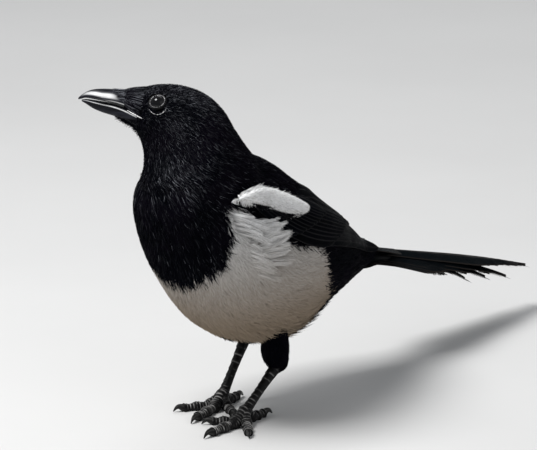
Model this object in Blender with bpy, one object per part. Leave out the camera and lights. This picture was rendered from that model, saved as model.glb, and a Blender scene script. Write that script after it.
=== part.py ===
"""A life-size Eurasian magpie standing still, its head turned to its right.

The bird faces -X, its left side is -Y and the floor is Z = 0.  Named sizes are
in millimetres and become metres when a mesh is made.  The body is one loft
through a row of stations.  Plane cuts part it into head, neck, breast, back,
belly and vent, and the wings, scapulars and thighs are laid on that same loft.
"""

import math
from collections import namedtuple

import bmesh
import bpy
import numpy as np
from mathutils import Vector

# Driving dimensions

MM = 0.001
GAP = 0.3

Station = namedtuple("Station", "name x y z yaw pitch half_width up down")

# Yaw turns a station to the bird's right, pitch lifts it, both in degrees.
STATIONS = (
    Station("tail_root", 122.0, 0.0, 69.5, 0.0, 20.0, 8.0, 5.0, 7.0),
    Station("rump", 104.0, 0.0, 75.0, 0.0, 25.0, 16.0, 11.5, 17.5),
    Station("vent", 80.0, 0.0, 83.0, 0.0, 31.0, 26.5, 19.0, 39.0),
    Station("loin", 50.0, 0.0, 93.0, 0.0, 35.0, 36.0, 27.5, 60.0),
    Station("belly", 15.0, 0.0, 104.0, 0.0, 39.0, 42.0, 38.5, 62.5),
    Station("breast", -13.0, 0.0, 119.0, 0.0, 45.0, 42.5, 41.0, 51.5),
    Station("crop", -31.0, 0.0, 135.0, 4.0, 56.0, 40.0, 37.0, 39.5),
    Station("low_neck", -41.0, -1.0, 149.0, 17.0, 65.0, 34.4, 34.6, 33.0),
    Station("mid_neck", -44.5, -1.5, 160.0, 34.0, 61.0, 28.0, 30.0, 30.0),
    Station("nape", -46.0, 0.0, 169.0, 45.0, 53.0, 22.5, 27.6, 28.0),
    Station("occiput", -49.0, 4.0, 177.0, 51.0, 42.0, 19.0, 24.7, 25.0),
    Station("crown", -53.3, 9.7, 182.7, 52.0, 30.0, 16.8, 20.2, 20.2),
    Station("eyes", -57.9, 15.7, 186.8, 52.0, 20.0, 14.2, 14.5, 14.5),
    Station("lores", -61.2, 19.9, 188.2, 52.0, 14.0, 11.0, 11.1, 11.1),
    Station("bill_root", -64.2, 23.7, 189.1, 52.0, 12.0, 8.0, 9.2, 9.2),
    Station("face_front", -65.7, 25.6, 189.7, 52.0, 12.0, 5.4, 6.6, 6.6),
)
STATION_VALUES = np.array([row[1:] for row in STATIONS])
LAST_STATION = len(STATIONS) - 1.0

RINGS_PER_STATION = 2
BODY_SIDES = 28

# About what a millimetre on the torso's skin is, along the stations and round the section
STATIONS_PER_MM = 0.05
DEGREES_PER_MM = 1.6

# Facets that meet more flatly than this many degrees are joined
FLAT_ANGLE = 1.2

# How far the folded wings are let into the torso
WING_BED = 4.0

# Where the body is parted
HEAD_CUT = 9.4
NECK_CUT = 7.0
BIB_POINT = Vector((-50.2, 0.0, 105.0))
BIB_LEAN = -11.5
BACK_POINT = Vector((-30.0, 0.0, 140.0))
BACK_LEAN = 66.0
VENT_POINT = Vector((38.9, 0.0, 80.2))
VENT_LEAN = 38.0

# Head
HEAD_YAW = 52.0
HEAD_ORIGIN = np.array((-64.2, 23.7, 189.1))
EYE_ALONG = -15.8
EYE_UP = 5.4
EYE_RADIUS = 5.0
EYE_SUNK = 3.5
EYE_SEGMENTS = 12
EYE_RINGS = 7
SOCKET_SEGMENTS = 14
SOCKET_RINGS = 8
LID_LONG = 4.7
LID_TALL = 4.1
LID_THICK = 0.75
MOUTH_SLIT = 0.7

# Tail
TAIL_ROOT = np.array((118.0, 0.0, 71.5))
TAIL_DROP = 14.5
TAIL_LENGTHS = (170.0, 144.0, 121.0, 99.0, 82.0, 66.0)
TAIL_DROOPS = (0.8, 7.0, 7.0, 6.5, 2.5, 1.0)
DROOP_START = 0.45
TAIL_SPREAD = (13.0, 14.0, 16.0, 18.0, 20.0, 21.5)
TAIL_STEP = 0.95
TAIL_THICK = 0.6
TAIL_ROOF = 12.0
MIDDLE_OVERLAP = 6.0
RECTRIX_INNER = 0.5
RIGHT_SHORTER = 1.5

# Legs: the joint of the toes, the heel, and the thigh's column over it
TOE_JOINT = {"left": np.array((-10.0, -15.0, 7.6)), "right": np.array((7.2, 15.0, 7.6))}
HEEL = {"left": np.array((21.5, -15.5, 30.5)), "right": np.array((31.5, 15.0, 41.5))}
THIGH_TOP = {"left": np.array((13.0, -17.0, 66.0)), "right": np.array((24.0, 17.0, 70.0))}
THIGH_RADIUS = 7.4
TARSUS_RADIUS = 2.15
SCUTES = 7
ANKLE_LENGTH = 4.6
SHANK_START = 7.0
TOE_HEIGHT = 0.72
TOE_FALL = 0.42
KNUCKLES = 3.0
CLAW_ARC = math.radians(58.0)
FOOT_TURN = {"left": 0.0, "right": 10.0}

Toe = namedtuple("Toe", "name turn length radius claw")

# A toe's turn is measured outward from straight ahead
TOES = (
    Toe("inner", -46.0, 19.0, 2.4, 6.5),
    Toe("middle", 0.0, 30.0, 2.7, 8.5),
    Toe("outer", 42.0, 24.0, 2.4, 6.5),
    Toe("hind", 180.0, 16.0, 2.6, 9.0),
)

SIDES = {"left": -1.0, "right": 1.0}


# Curves and the body's surface

def smooth(value, low, high):
    """Rise from 0 at low to 1 at high without a corner."""
    s = np.clip((np.asarray(value, float) - low) / (high - low), 0.0, 1.0)
    return s * s * (3.0 - 2.0 * s)


def curve(keys, values, at):
    """A smooth curve through the values at the keys."""
    keys = np.asarray(keys, float)
    values = np.asarray(values, float)
    flat = values.ndim == 1
    if flat:
        values = values[:, None]
    spans = np.diff(keys)[:, None]
    chords = np.diff(values, axis=0) / spans
    slopes = np.empty_like(values)
    slopes[0] = chords[0]
    slopes[-1] = chords[-1]
    slopes[1:-1] = (chords[:-1] * spans[1:] + chords[1:] * spans[:-1]) / (spans[1:] + spans[:-1])
    at = np.clip(np.asarray(at, float), keys[0], keys[-1])
    i = np.clip(np.searchsorted(keys, at, side="right") - 1, 0, len(keys) - 2)
    span = (keys[i + 1] - keys[i])[..., None]
    s = (at - keys[i])[..., None] / span
    result = (
        (2 * s**3 - 3 * s**2 + 1) * values[i]
        + (s**3 - 2 * s**2 + s) * span * slopes[i]
        + (3 * s**2 - 2 * s**3) * values[i + 1]
        + (s**3 - s**2) * span * slopes[i + 1]
    )
    return result[..., 0] if flat else result


def section(t):
    """Centre, tangent, up and left directions and half sizes of the section at t."""
    row = curve(np.arange(len(STATIONS)), STATION_VALUES, t)
    yaw = np.radians(row[..., 3])
    pitch = np.radians(row[..., 4])
    zero = np.zeros_like(yaw)
    ahead = np.stack((-np.cos(yaw), np.sin(yaw), zero), -1)
    left = np.stack((-np.sin(yaw), -np.cos(yaw), zero), -1)
    rise = np.array((0.0, 0.0, 1.0))
    tangent = ahead * np.cos(pitch)[..., None] + rise * np.sin(pitch)[..., None]
    up = rise * np.cos(pitch)[..., None] - ahead * np.sin(pitch)[..., None]
    return row[..., :3], tangent, up, left, row[..., 5], row[..., 6], row[..., 7]


def wing_bed(t, phi):
    """Depth of the bed for the folded wings, full over the flank and the rear back."""
    angle = np.degrees(np.arcsin(np.clip(np.sin(phi), -1.0, 1.0)))
    along = smooth(t, 0.2, 1.4) * (1.0 - smooth(t, 5.7, 6.7))
    mantle = smooth(angle, 46.0, 66.0) * smooth(t, 3.2, 5.0)
    return WING_BED * along * smooth(angle, -24.0, 2.0) * (1.0 - mantle)


def skin(t, phi, lift=0.0):
    """A point on the body: t along the stations, phi round the section from its left."""
    t, phi, lift = np.broadcast_arrays(np.asarray(t, float), phi, lift)
    centre, _, up, left, half_width, high, low = section(t)
    grow = lift - wing_bed(t, phi)
    tall = np.where(np.sin(phi) >= 0.0, high, low)
    return (
        centre
        + left * ((half_width + grow) * np.cos(phi))[..., None]
        + up * ((tall + grow) * np.sin(phi))[..., None]
    )


def side_angle(degrees, side):
    """The angle round the section for a left or a right hand piece."""
    phi = np.radians(degrees)
    return phi if side < 0 else math.pi - phi


# Meshes

def make_material(name, colour, roughness, metallic=0.0):
    """A plain Principled material."""
    material = bpy.data.materials.new(name)
    material.use_nodes = True
    shader = material.node_tree.nodes["Principled BSDF"]
    shader.inputs["Base Color"].default_value = (*colour, 1.0)
    shader.inputs["Roughness"].default_value = roughness
    shader.inputs["Metallic"].default_value = metallic
    material.diffuse_color = (*colour, 1.0)
    return material


def make_object(name, vertices, faces):
    """An object from points in millimetres, its faces turned outward."""
    mesh = bpy.data.meshes.new(name)
    mesh.from_pydata((np.asarray(vertices) * MM).tolist(), [], faces)
    shape = bmesh.new()
    shape.from_mesh(mesh)
    bmesh.ops.recalc_face_normals(shape, faces=shape.faces)
    shape.to_mesh(mesh)
    shape.free()
    obj = bpy.data.objects.new(name, mesh)
    bpy.context.scene.collection.objects.link(obj)
    return obj


def tube(name, rings):
    """A closed solid through rings of points, its ends closed by fans."""
    rings = np.asarray(rings)
    count, sides, _ = rings.shape
    vertices = np.concatenate((rings.reshape(-1, 3), rings[:1].mean(1), rings[-1:].mean(1)))
    faces = []
    for i in range(count - 1):
        for j in range(sides):
            a = i * sides + j
            b = i * sides + (j + 1) % sides
            faces.append((a, b, b + sides))
            faces.append((a, b + sides, a + sides))
    first, last = count * sides, count * sides + 1
    for j in range(sides):
        k = (j + 1) % sides
        faces.append((k, j, first))
        faces.append(((count - 1) * sides + j, (count - 1) * sides + k, last))
    return make_object(name, vertices, faces)


def plate(name, outer, inner):
    """A closed solid between two sheets of points, split alike on both faces."""
    rows, columns, _ = outer.shape
    vertices = np.concatenate((outer.reshape(-1, 3), inner.reshape(-1, 3)))
    under = rows * columns
    faces = []
    for i in range(rows - 1):
        for j in range(columns - 1):
            a = i * columns + j
            b, c, d = a + 1, a + columns + 1, a + columns
            faces.extend(((a, b, c), (a, c, d)))
            faces.extend(((a + under, c + under, b + under), (a + under, d + under, c + under)))
    rim = [j for j in range(columns)]
    rim += [i * columns + columns - 1 for i in range(1, rows)]
    rim += [(rows - 1) * columns + j for j in range(columns - 2, -1, -1)]
    rim += [i * columns for i in range(rows - 2, 0, -1)]
    for a, b in zip(rim, rim[1:] + rim[:1]):
        faces.extend(((a, a + under, b + under), (a, b + under, b)))
    return make_object(name, vertices, faces)


def ellipsoid(name, centre, axes, sizes, segments, rings):
    """A closed ellipsoid with the given half sizes along three axes."""
    theta = np.linspace(0.08, math.pi - 0.08, rings)[:, None]
    phi = np.arange(segments) * 2.0 * math.pi / segments
    local = np.stack(np.broadcast_arrays(
        np.cos(theta) / math.cos(0.08), np.sin(theta) * np.cos(phi), np.sin(theta) * np.sin(phi)), -1)
    return tube(name, np.asarray(centre) + (local * np.asarray(sizes)) @ np.asarray(axes))


def evaluate(obj):
    """Replace an object's mesh by what its modifiers make of it."""
    graph = bpy.context.evaluated_depsgraph_get()
    mesh = bpy.data.meshes.new_from_object(obj.evaluated_get(graph))
    obj.modifiers.clear()
    obj.data = mesh


def keep_largest(obj):
    """Keep only the largest closed surface of an object."""
    shape = bmesh.new()
    shape.from_mesh(obj.data)
    bmesh.ops.remove_doubles(shape, verts=shape.verts, dist=0.000001)
    unseen = set(shape.faces)
    best = set()
    while unseen:
        island = {unseen.pop()}
        front = list(island)
        while front:
            face = front.pop()
            for edge in face.edges:
                for other in edge.link_faces:
                    if other in unseen:
                        unseen.discard(other)
                        island.add(other)
                        front.append(other)
        if len(island) > len(best):
            best = island
    scraps = [face for face in shape.faces if face not in best]
    bmesh.ops.delete(shape, geom=scraps, context="FACES")
    bmesh.ops.dissolve_limit(
        shape, angle_limit=math.radians(FLAT_ANGLE), verts=shape.verts, edges=shape.edges)
    bmesh.ops.triangulate(shape, faces=shape.faces)
    shape.to_mesh(obj.data)
    shape.free()


def fuse(name, pieces, solver="EXACT"):
    """Join closed pieces into one object."""
    base, rest = pieces[0], pieces[1:]
    base.name = name
    if rest:
        group = bpy.data.collections.new(name)
        for piece in rest:
            bpy.context.scene.collection.objects.unlink(piece)
            group.objects.link(piece)
        bpy.context.scene.collection.children.link(group)
        union = base.modifiers.new("union", "BOOLEAN")
        union.operation = "UNION"
        union.operand_type = "COLLECTION"
        union.collection = group
        union.solver = solver
        evaluate(base)
        for piece in rest:
            bpy.data.objects.remove(piece)
        bpy.data.collections.remove(group)
    return base


def carve(obj, cutter, solver="EXACT"):
    """Cut one object's space out of another."""
    cut = obj.modifiers.new("cut", "BOOLEAN")
    cut.operation = "DIFFERENCE"
    cut.object = cutter
    cut.solver = solver
    evaluate(obj)


def discard(*objects):
    """Remove guides that are no longer needed."""
    for obj in objects:
        bpy.data.objects.remove(obj)


def cut_by_plane(obj, point, normal):
    """Keep the side of a plane that its normal points away from, half a gap short of it."""
    shape = bmesh.new()
    shape.from_mesh(obj.data)
    normal = Vector(normal).normalized()
    place = (Vector(point) - normal * (GAP / 2.0)) * MM
    bmesh.ops.bisect_plane(
        shape, geom=list(shape.verts) + list(shape.edges) + list(shape.faces),
        plane_co=place, plane_no=normal, clear_outer=True, dist=1e-7)
    rim = [edge for edge in shape.edges if edge.is_boundary]
    bmesh.ops.holes_fill(shape, edges=rim, sides=0)
    bmesh.ops.triangulate(shape, faces=shape.faces)
    bmesh.ops.recalc_face_normals(shape, faces=shape.faces)
    shape.to_mesh(obj.data)
    shape.free()


def duplicate(obj, name):
    """A separate copy of an object."""
    other = bpy.data.objects.new(name, obj.data.copy())
    bpy.context.scene.collection.objects.link(other)
    return other


def finish(obj, name, material):
    """Name a finished node and its mesh, and give it its material."""
    keep_largest(obj)
    obj.name = name
    obj.data.name = name
    obj.data.materials.clear()
    obj.data.materials.append(material)
    obj.data.shade_smooth()
    obj.data.set_sharp_from_angle(angle=math.radians(35.0))
    return obj


# Feathers

def vane(name, carrier, root, tip, width, lifts, thick, tilt=0.0, bow=0.0, steps=4, grow=0.0):
    """One flat feather laid on a carrier surface.

    root and tip are (along, angle in degrees).  width is its full width in
    millimetres, lifts its height over the carrier at the root and the tip, and
    tilt raises the edge of lower angle over the other.  bow shifts its middle
    in degrees.
    """
    s = np.concatenate((np.linspace(0.0, 0.72, steps - 1), (1.0,)))[:, None]
    outline = np.interp(s, (0.0, 0.3, 0.72, 1.0), (0.85, 1.0, 1.0, 0.45))
    along = root[0] + (tip[0] - root[0]) * s
    angle = root[1] + (tip[1] - root[1]) * s + bow * np.sin(math.pi * s)
    step = 0.01
    middle = carrier(along, angle, 0.0)
    run = carrier(along + (tip[0] - root[0]) * step, angle + (tip[1] - root[1]) * step, 0.0) - middle
    by_angle = carrier(along, angle + 1.0, 0.0) - middle
    by_along = carrier(along + step, angle, 0.0) - middle
    run /= np.linalg.norm(run, axis=-1, keepdims=True)
    normal = np.cross(by_angle, by_along)
    normal /= np.linalg.norm(normal, axis=-1, keepdims=True)
    sideways = np.cross(normal, run)
    sideways *= np.sign((sideways * by_angle).sum(-1, keepdims=True))
    across = np.array((-1.0, 1.0))
    reach = (width / 2.0 * outline + grow) * across
    # The sideways reach is split into its share of the angle and its share along the body
    aa = (by_angle * by_angle).sum(-1)
    bb = (by_along * by_along).sum(-1)
    ab = (by_angle * by_along).sum(-1)
    pa = (sideways * by_angle).sum(-1)
    pb = (sideways * by_along).sum(-1)
    scale = aa * bb - ab * ab
    turn = (pa * bb - pb * ab) / scale
    slide = (pb * aa - pa * ab) / scale * step
    t = along + reach * slide
    a = angle + reach * turn
    top = lifts[0] + (lifts[1] - lifts[0]) * s - tilt / 2.0 * across
    outer = carrier(t, a, top + grow)
    inner = carrier(t, a, top - thick - grow)
    for sheet in (outer, inner):
        sheet[0] -= run[0] * grow
        sheet[-1] += run[-1] * grow
    return plate(name, outer, inner)


def torso_carrier(side):
    """The body's surface for vane(), mirrored for the right side."""
    def carrier(along, angle, lift):
        return skin(along, side_angle(angle, side), lift)
    return carrier


def pad(name, carrier, alongs, low, high, top, inner, columns=7, grow=0.0):
    """A smooth pad between a low and a high edge, thinning to both edges."""
    u = np.array(alongs, float)[:, None]
    u[0] -= grow * STATIONS_PER_MM * np.sign(u[-1] - u[0])
    u[-1] += grow * STATIONS_PER_MM * np.sign(u[-1] - u[0])
    low = low - grow * DEGREES_PER_MM
    high = high + grow * DEGREES_PER_MM
    v = np.linspace(0.0, 1.0, columns)
    angle = low[:, None] + (high - low)[:, None] * v
    ends = np.linspace(0.0, 1.0, len(alongs))[:, None]
    dome = np.sqrt(np.clip(1.0 - (2.0 * v - 1.0) ** 4, 0.0, 1.0))
    dome = dome * np.clip(1.0 - (2.0 * ends - 1.0) ** 6, 0.0, 1.0)
    outer = carrier(u, angle, top * (0.25 + 0.75 * dome) + grow)
    under = carrier(u, angle, np.full_like(dome, inner) - grow)
    return plate(name, outer, under)


# Body

def body_loft(name, lift=0.0):
    """The whole body from tail root to face as one closed loft."""
    count = int(LAST_STATION) * RINGS_PER_STATION + 1
    t = np.linspace(0.0, LAST_STATION, count)[:, None]
    phi = np.arange(BODY_SIDES) * 2.0 * math.pi / BODY_SIDES
    rings = skin(t, phi, lift)
    if lift:
        tangent = section(t)[1]
        rings[0] -= tangent[0] * lift
        rings[-1] += tangent[-1] * lift
    return tube(name, rings)


def section_plane(t):
    """A point and the forward normal of the section at t."""
    centre, tangent = section(np.array(t))[:2]
    return Vector(centre), Vector(tangent)


def lean_normal(degrees):
    """A normal that points to the tail, raised by the given angle."""
    lean = math.radians(degrees)
    return Vector((math.cos(lean), 0.0, math.sin(lean)))


def make_trunk(loft, black, white):
    """Part the loft into neck, breast, back, belly and vent, and return the head's share."""
    head_point, head_normal = section_plane(HEAD_CUT)
    neck_point, neck_normal = section_plane(NECK_CUT)
    back_normal = lean_normal(BACK_LEAN)
    vent_normal = lean_normal(VENT_LEAN)
    bib_normal = lean_normal(BIB_LEAN)
    planes = {
        "head_share": ((head_point, -head_normal),),
        "neck": ((head_point, head_normal), (neck_point, -neck_normal)),
        "back": ((neck_point, neck_normal), (BACK_POINT, -back_normal)),
        "breast": ((neck_point, neck_normal), (BACK_POINT, back_normal), (BIB_POINT, bib_normal)),
        "belly": (
            (neck_point, neck_normal), (BACK_POINT, back_normal),
            (BIB_POINT, -bib_normal), (VENT_POINT, vent_normal)),
        "vent": ((BACK_POINT, back_normal), (BIB_POINT, -bib_normal), (VENT_POINT, -vent_normal)),
    }
    shares = {}
    for name, cuts in planes.items():
        share = duplicate(loft, name)
        for point, normal in cuts:
            cut_by_plane(share, point, normal)
        shares[name] = share
    for name in ("neck", "breast", "back", "vent"):
        finish(shares[name], name, black)
    finish(shares["belly"], "belly", white)
    return shares["head_share"]


# Head

def head_axes():
    """Forward, left and up directions of the turned head."""
    yaw = math.radians(HEAD_YAW)
    return np.array((
        (-math.cos(yaw), math.sin(yaw), 0.0),
        (-math.sin(yaw), -math.cos(yaw), 0.0),
        (0.0, 0.0, 1.0),
    ))


def head_point(ahead, left, up):
    """A place in the head's own frame, whose origin is the root of the bill."""
    local = np.stack(np.broadcast_arrays(ahead, left, up), -1)
    return HEAD_ORIGIN + local @ head_axes()


# Bill outline in the head's frame: distance ahead, top, lower edge, half width
UPPER_BILL = np.array((
    (-7.0, 6.0, -3.7, 7.5),
    (-2.0, 8.1, -1.5, 7.0),
    (3.0, 8.7, 0.7, 5.5),
    (9.0, 9.4, 2.3, 4.2),
    (15.0, 9.6, 3.3, 3.4),
    (20.0, 9.2, 4.2, 2.5),
    (24.0, 7.7, 4.7, 1.6),
    (26.8, 5.8, 4.0, 0.8),
    (28.1, 4.5, 3.7, 0.35),
))
LOWER_BILL = np.array((
    (-7.0, -5.0, -10.4, 6.6),
    (-2.0, -2.6, -9.6, 6.2),
    (3.0, -0.5, -7.5, 5.0),
    (9.0, 1.3, -5.5, 3.7),
    (15.0, 2.3, -3.6, 2.9),
    (20.0, 3.2, -1.4, 2.1),
    (23.6, 3.7, 1.0, 1.4),
    (26.2, 3.5, 2.6, 0.6),
))


def bill_half(name, outline, arch, grow=0.0):
    """One half of the bill: flat along the cutting edge and arched on the other side."""
    s = np.linspace(0.0, 1.0, 10)
    ahead, top, bottom, half_width = curve(np.linspace(0.0, 1.0, len(outline)), outline, s).T
    sides = 10
    phi = np.arange(sides) * 2.0 * math.pi / sides
    cosine, sine = np.cos(phi), np.sin(phi)
    # The arched side is a narrow ridge, the other side keeps the cutting edges square
    ridge = np.sign(cosine) * np.abs(cosine) ** 0.9
    square = np.sign(cosine) * np.abs(cosine) ** 0.35
    across = np.where(sine * arch > 0.0, ridge, square)
    middle = (top + bottom) / 2.0 - arch * (top - bottom) * 0.22
    above = top - middle + grow
    below = middle - bottom + grow
    height = np.where(sine > 0.0, above[:, None] * sine, below[:, None] * sine)
    ahead = ahead.copy()
    ahead[-1] += grow
    ahead[0] -= grow
    rings = head_point(ahead[:, None], (half_width[:, None] + grow) * across, middle[:, None] + height)
    return tube(name, rings)


def eye_place(side):
    """The centre of an eye, sunk under the head's surface."""
    t = 11.0 + np.arange(60) * 0.03
    phi = np.radians(np.arange(10.0, 60.0, 1.0))
    if side > 0:
        phi = math.pi - phi
    grid = skin(t[:, None], phi)
    local = (grid - HEAD_ORIGIN) @ head_axes().T
    miss = np.hypot(local[..., 0] - EYE_ALONG, local[..., 2] - EYE_UP)
    i, j = np.unravel_index(miss.argmin(), miss.shape)
    place = grid[i, j]
    out = np.cross(grid[min(i + 1, len(t) - 1), j] - place, grid[i, min(j + 1, len(phi) - 1)] - place)
    out /= np.linalg.norm(out)
    centre = section(np.array(t[i]))[0]
    if out @ (place - centre) < 0.0:
        out = -out
    return place - out * EYE_SUNK, out


def lid_ring(name, centre, out, distance, long, tall, thick, start=0.0, end=360.0):
    """A fold of bare skin round the eye: a ring, or an arc that thins to its ends."""
    ahead = head_axes()[0]
    along = ahead - out * (ahead @ out)
    along /= np.linalg.norm(along)
    high = np.cross(out, along)
    if high[2] < 0.0:
        high = -high
    whole = end - start >= 360.0
    count = 16 if whole else 7
    angle = np.radians(np.linspace(start, end, count, endpoint=not whole))
    sides = 5
    turn = np.arange(sides) * 2.0 * math.pi / sides
    fade = np.ones(count) if whole else 0.35 + 0.65 * np.sin(np.linspace(0.0, math.pi, count))
    radial = along * np.cos(angle)[:, None] * long + high * np.sin(angle)[:, None] * tall
    away = radial / np.linalg.norm(radial, axis=1, keepdims=True)
    middle = centre + out * distance + radial
    rings = (
        middle[:, None]
        + away[:, None] * (thick * fade)[:, None, None] * np.cos(turn)[:, None]
        + out * (thick * 1.15 * fade)[:, None, None] * np.sin(turn)[:, None]
    )
    if not whole:
        return tube(name, rings)
    faces = []
    for i in range(count):
        k = (i + 1) % count
        for j in range(sides):
            m = (j + 1) % sides
            faces.append((i * sides + j, i * sides + m, k * sides + m))
            faces.append((i * sides + j, k * sides + m, k * sides + j))
    return make_object(name, rings.reshape(-1, 3), faces)


def lock(name, points, widths, thicks, flat):
    """A tapered lock through points, flattened along the direction flat."""
    points = np.asarray(points, float)
    s = np.linspace(0.0, 1.0, 4)
    path = curve(np.linspace(0.0, 1.0, len(points)), points, s)
    width = np.interp(s, (0.0, 0.5, 1.0), widths)
    thick = np.interp(s, (0.0, 0.5, 1.0), thicks)
    run = np.gradient(path, axis=0)
    run /= np.linalg.norm(run, axis=1, keepdims=True)
    side = np.cross(run, flat)
    side /= np.linalg.norm(side, axis=1, keepdims=True)
    rise = np.cross(side, run)
    turn = np.arange(4) * math.pi / 2.0
    rings = (
        path[:, None]
        + side[:, None] * (width[:, None] * np.cos(turn))[..., None] / 2.0
        + rise[:, None] * (thick[:, None] * np.sin(turn))[..., None] / 2.0
    )
    return tube(name, rings)


def bill_bristles():
    """Stiff bristles from the forehead that lie forward over the nostrils, and chin tufts."""
    locks = []
    for side in (-1.0, 1.0):
        for k in range(4):
            raised = 1.0 - k / 3.0
            root = head_point(-5.5, side * (1.8 + 1.9 * k), 7.6 - 2.6 * k)
            middle = head_point(0.5, side * (1.9 + 1.45 * k), 8.9 - 2.4 * k)
            tip = head_point(4.6 + 3.2 * raised, side * (1.5 + 1.3 * k), 9.6 - 2.3 * k)
            flat = head_axes()[1] * side * (0.25 + 0.28 * k) + head_axes()[2] * (1.0 - 0.25 * k)
            locks.append(lock("bristle", (root, middle, tip), (2.6, 2.2, 0.5), (3.0, 1.8, 0.5), flat))
    for offset in (-2.4, 0.0, 2.4):
        root = head_point(-4.0, offset * 1.3, -8.0)
        middle = head_point(1.0, offset, -8.4)
        tip = head_point(5.6 - abs(offset) * 0.5, offset * 0.6, -7.4)
        locks.append(lock("chin", (root, middle, tip), (3.0, 2.4, 0.6), (3.0, 1.8, 0.6), head_axes()[2]))
    return locks


def mouth_cutter():
    """A thin plate along the line of the mouth, from the bill back to its corner."""
    ahead = np.array((3.5, -3.0, -8.6))
    height = np.array((0.1, -2.8, -5.5))
    left = np.array((-14.0, 14.0))
    half = np.array((MOUTH_SLIT, MOUTH_SLIT, 0.3))[:, None] / 2.0
    outer = head_point(ahead[:, None], left, height[:, None] + half)
    inner = head_point(ahead[:, None], left, height[:, None] - half)
    return plate("mouth", outer, inner)


def make_head(share, black, horn, eye_material):
    """The head with its lids, bristles and mouth, both eyes and the two halves of the bill."""
    pieces = [share]
    sockets = []
    for name, side in SIDES.items():
        centre, out = eye_place(side)
        pieces.append(lid_ring("lid", centre, out, EYE_SUNK - 0.2, LID_LONG, LID_TALL, LID_THICK))
        pieces.append(lid_ring("fold", centre, out, EYE_SUNK - 0.5, 7.2, 6.6, 0.8, 205.0, 335.0))
        axes = np.eye(3)
        eye = ellipsoid("eye_" + name, centre, axes, (EYE_RADIUS,) * 3, EYE_SEGMENTS, EYE_RINGS)
        finish(eye, "eye_" + name, eye_material)
        room = (EYE_RADIUS + GAP,) * 3
        sockets.append(ellipsoid("socket", centre, axes, room, SOCKET_SEGMENTS, SOCKET_RINGS))
    head = fuse("head", pieces + bill_bristles())
    cutters = sockets + [
        bill_half("upper_room", UPPER_BILL, 1.0, GAP),
        bill_half("lower_room", LOWER_BILL, -1.0, GAP),
        mouth_cutter(),
    ]
    for cutter in cutters:
        carve(head, cutter)
    discard(*cutters)
    finish(head, "head", black)
    finish(bill_half("bill_upper", UPPER_BILL, 1.0), "bill_upper", horn)
    finish(bill_half("bill_lower", LOWER_BILL, -1.0), "bill_lower", horn)


# Wings and scapulars

WING_ALONG = (6.3, 5.7, 5.0, 4.4, 4.1, 3.6, 3.0, 2.3, 1.6, 1.0, 0.5)
WING_LOW = (1.0, 0.0, -1.0, -1.0, 0.0, 2.0, 8.0, 14.0, 17.0, 19.0, 21.0)
WING_HIGH = (8.0, 14.0, 20.0, 30.0, 42.0, 66.0, 80.0, 80.0, 66.0, 46.0, 30.0)

Row = namedtuple("Row", "name count root_first root_last tip_first tip_last width lifts thick tilt")

# Rows of wing feathers, each from its lowest feather to its highest: (along, angle)
WING_ROWS = (
    Row("primary", 6, (4.2, 4.0), (4.2, 14.0), (2.5, 15.0), (0.32, 26.0), (8.0, 6.0), (2.6, 3.0), 1.5, 0.9),
    Row("secondary", 7, (4.9, 5.0), (4.6, 36.0), (3.3, 9.0), (2.5, 48.0), (9.5, 9.5), (3.2, 4.2), 1.6, 1.3),
    Row("tertial", 3, (4.1, 44.0), (3.7, 66.0), (2.4, 58.0), (2.8, 77.0), (12.0, 11.0), (3.0, 4.0), 1.7, 1.0),
    Row("greater", 7, (5.8, 5.0), (4.9, 32.0), (4.5, 4.0), (3.7, 36.0), (8.0, 9.0), (3.8, 5.0), 1.8, 1.0),
    Row("median", 4, (6.35, 6.0), (5.7, 19.0), (5.3, 5.0), (4.7, 21.0), (7.5, 7.5), (3.4, 5.4), 2.2, 0.8),
)

SCAPULAR_ALONG = (6.7, 6.3, 5.8, 5.2, 4.75, 4.4)
SCAPULAR_LOW = (1.0, 7.0, 13.0, 19.0, 24.0, 29.0)
SCAPULAR_HIGH = (12.0, 23.0, 30.0, 33.0, 34.0, 34.0)
SCAPULAR_ROWS = (
    Row("long", 6, (5.9, 20.0), (5.0, 33.0), (5.15, 17.0), (4.2, 29.5), (9.0, 9.0), (5.0, 6.0), 2.4, 0.9),
    Row("short", 5, (6.65, 5.0), (5.6, 31.0), (5.85, 8.0), (4.8, 30.0), (9.0, 9.0), (5.2, 6.8), 2.6, 0.9),
)


def between(first, last, s):
    """Mix two pairs of values."""
    return tuple(a + (b - a) * s for a, b in zip(first, last))


def feather_rows(rows, carrier, grow=0.0):
    """All vanes of some rows, from the lowest of each row to the highest."""
    vanes = []
    for row in rows:
        for k in range(row.count):
            s = k / (row.count - 1.0)
            root = between(row.root_first, row.root_last, s)
            tip = between(row.tip_first, row.tip_last, s)
            width = row.width[0] + (row.width[1] - row.width[0]) * s
            vanes.append(vane(row.name, carrier, root, tip, width, row.lifts, row.thick, row.tilt, grow=grow))
    return vanes


def scapular_pieces(side, grow=0.0):
    """The white shoulder feathers over the top of the wing."""
    carrier = torso_carrier(side)
    base = pad("scapular_pad", carrier, SCAPULAR_ALONG, np.array(SCAPULAR_LOW), np.array(SCAPULAR_HIGH),
               5.4, -1.5, grow=grow)
    return [base] + feather_rows(SCAPULAR_ROWS, carrier, grow)


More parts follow.
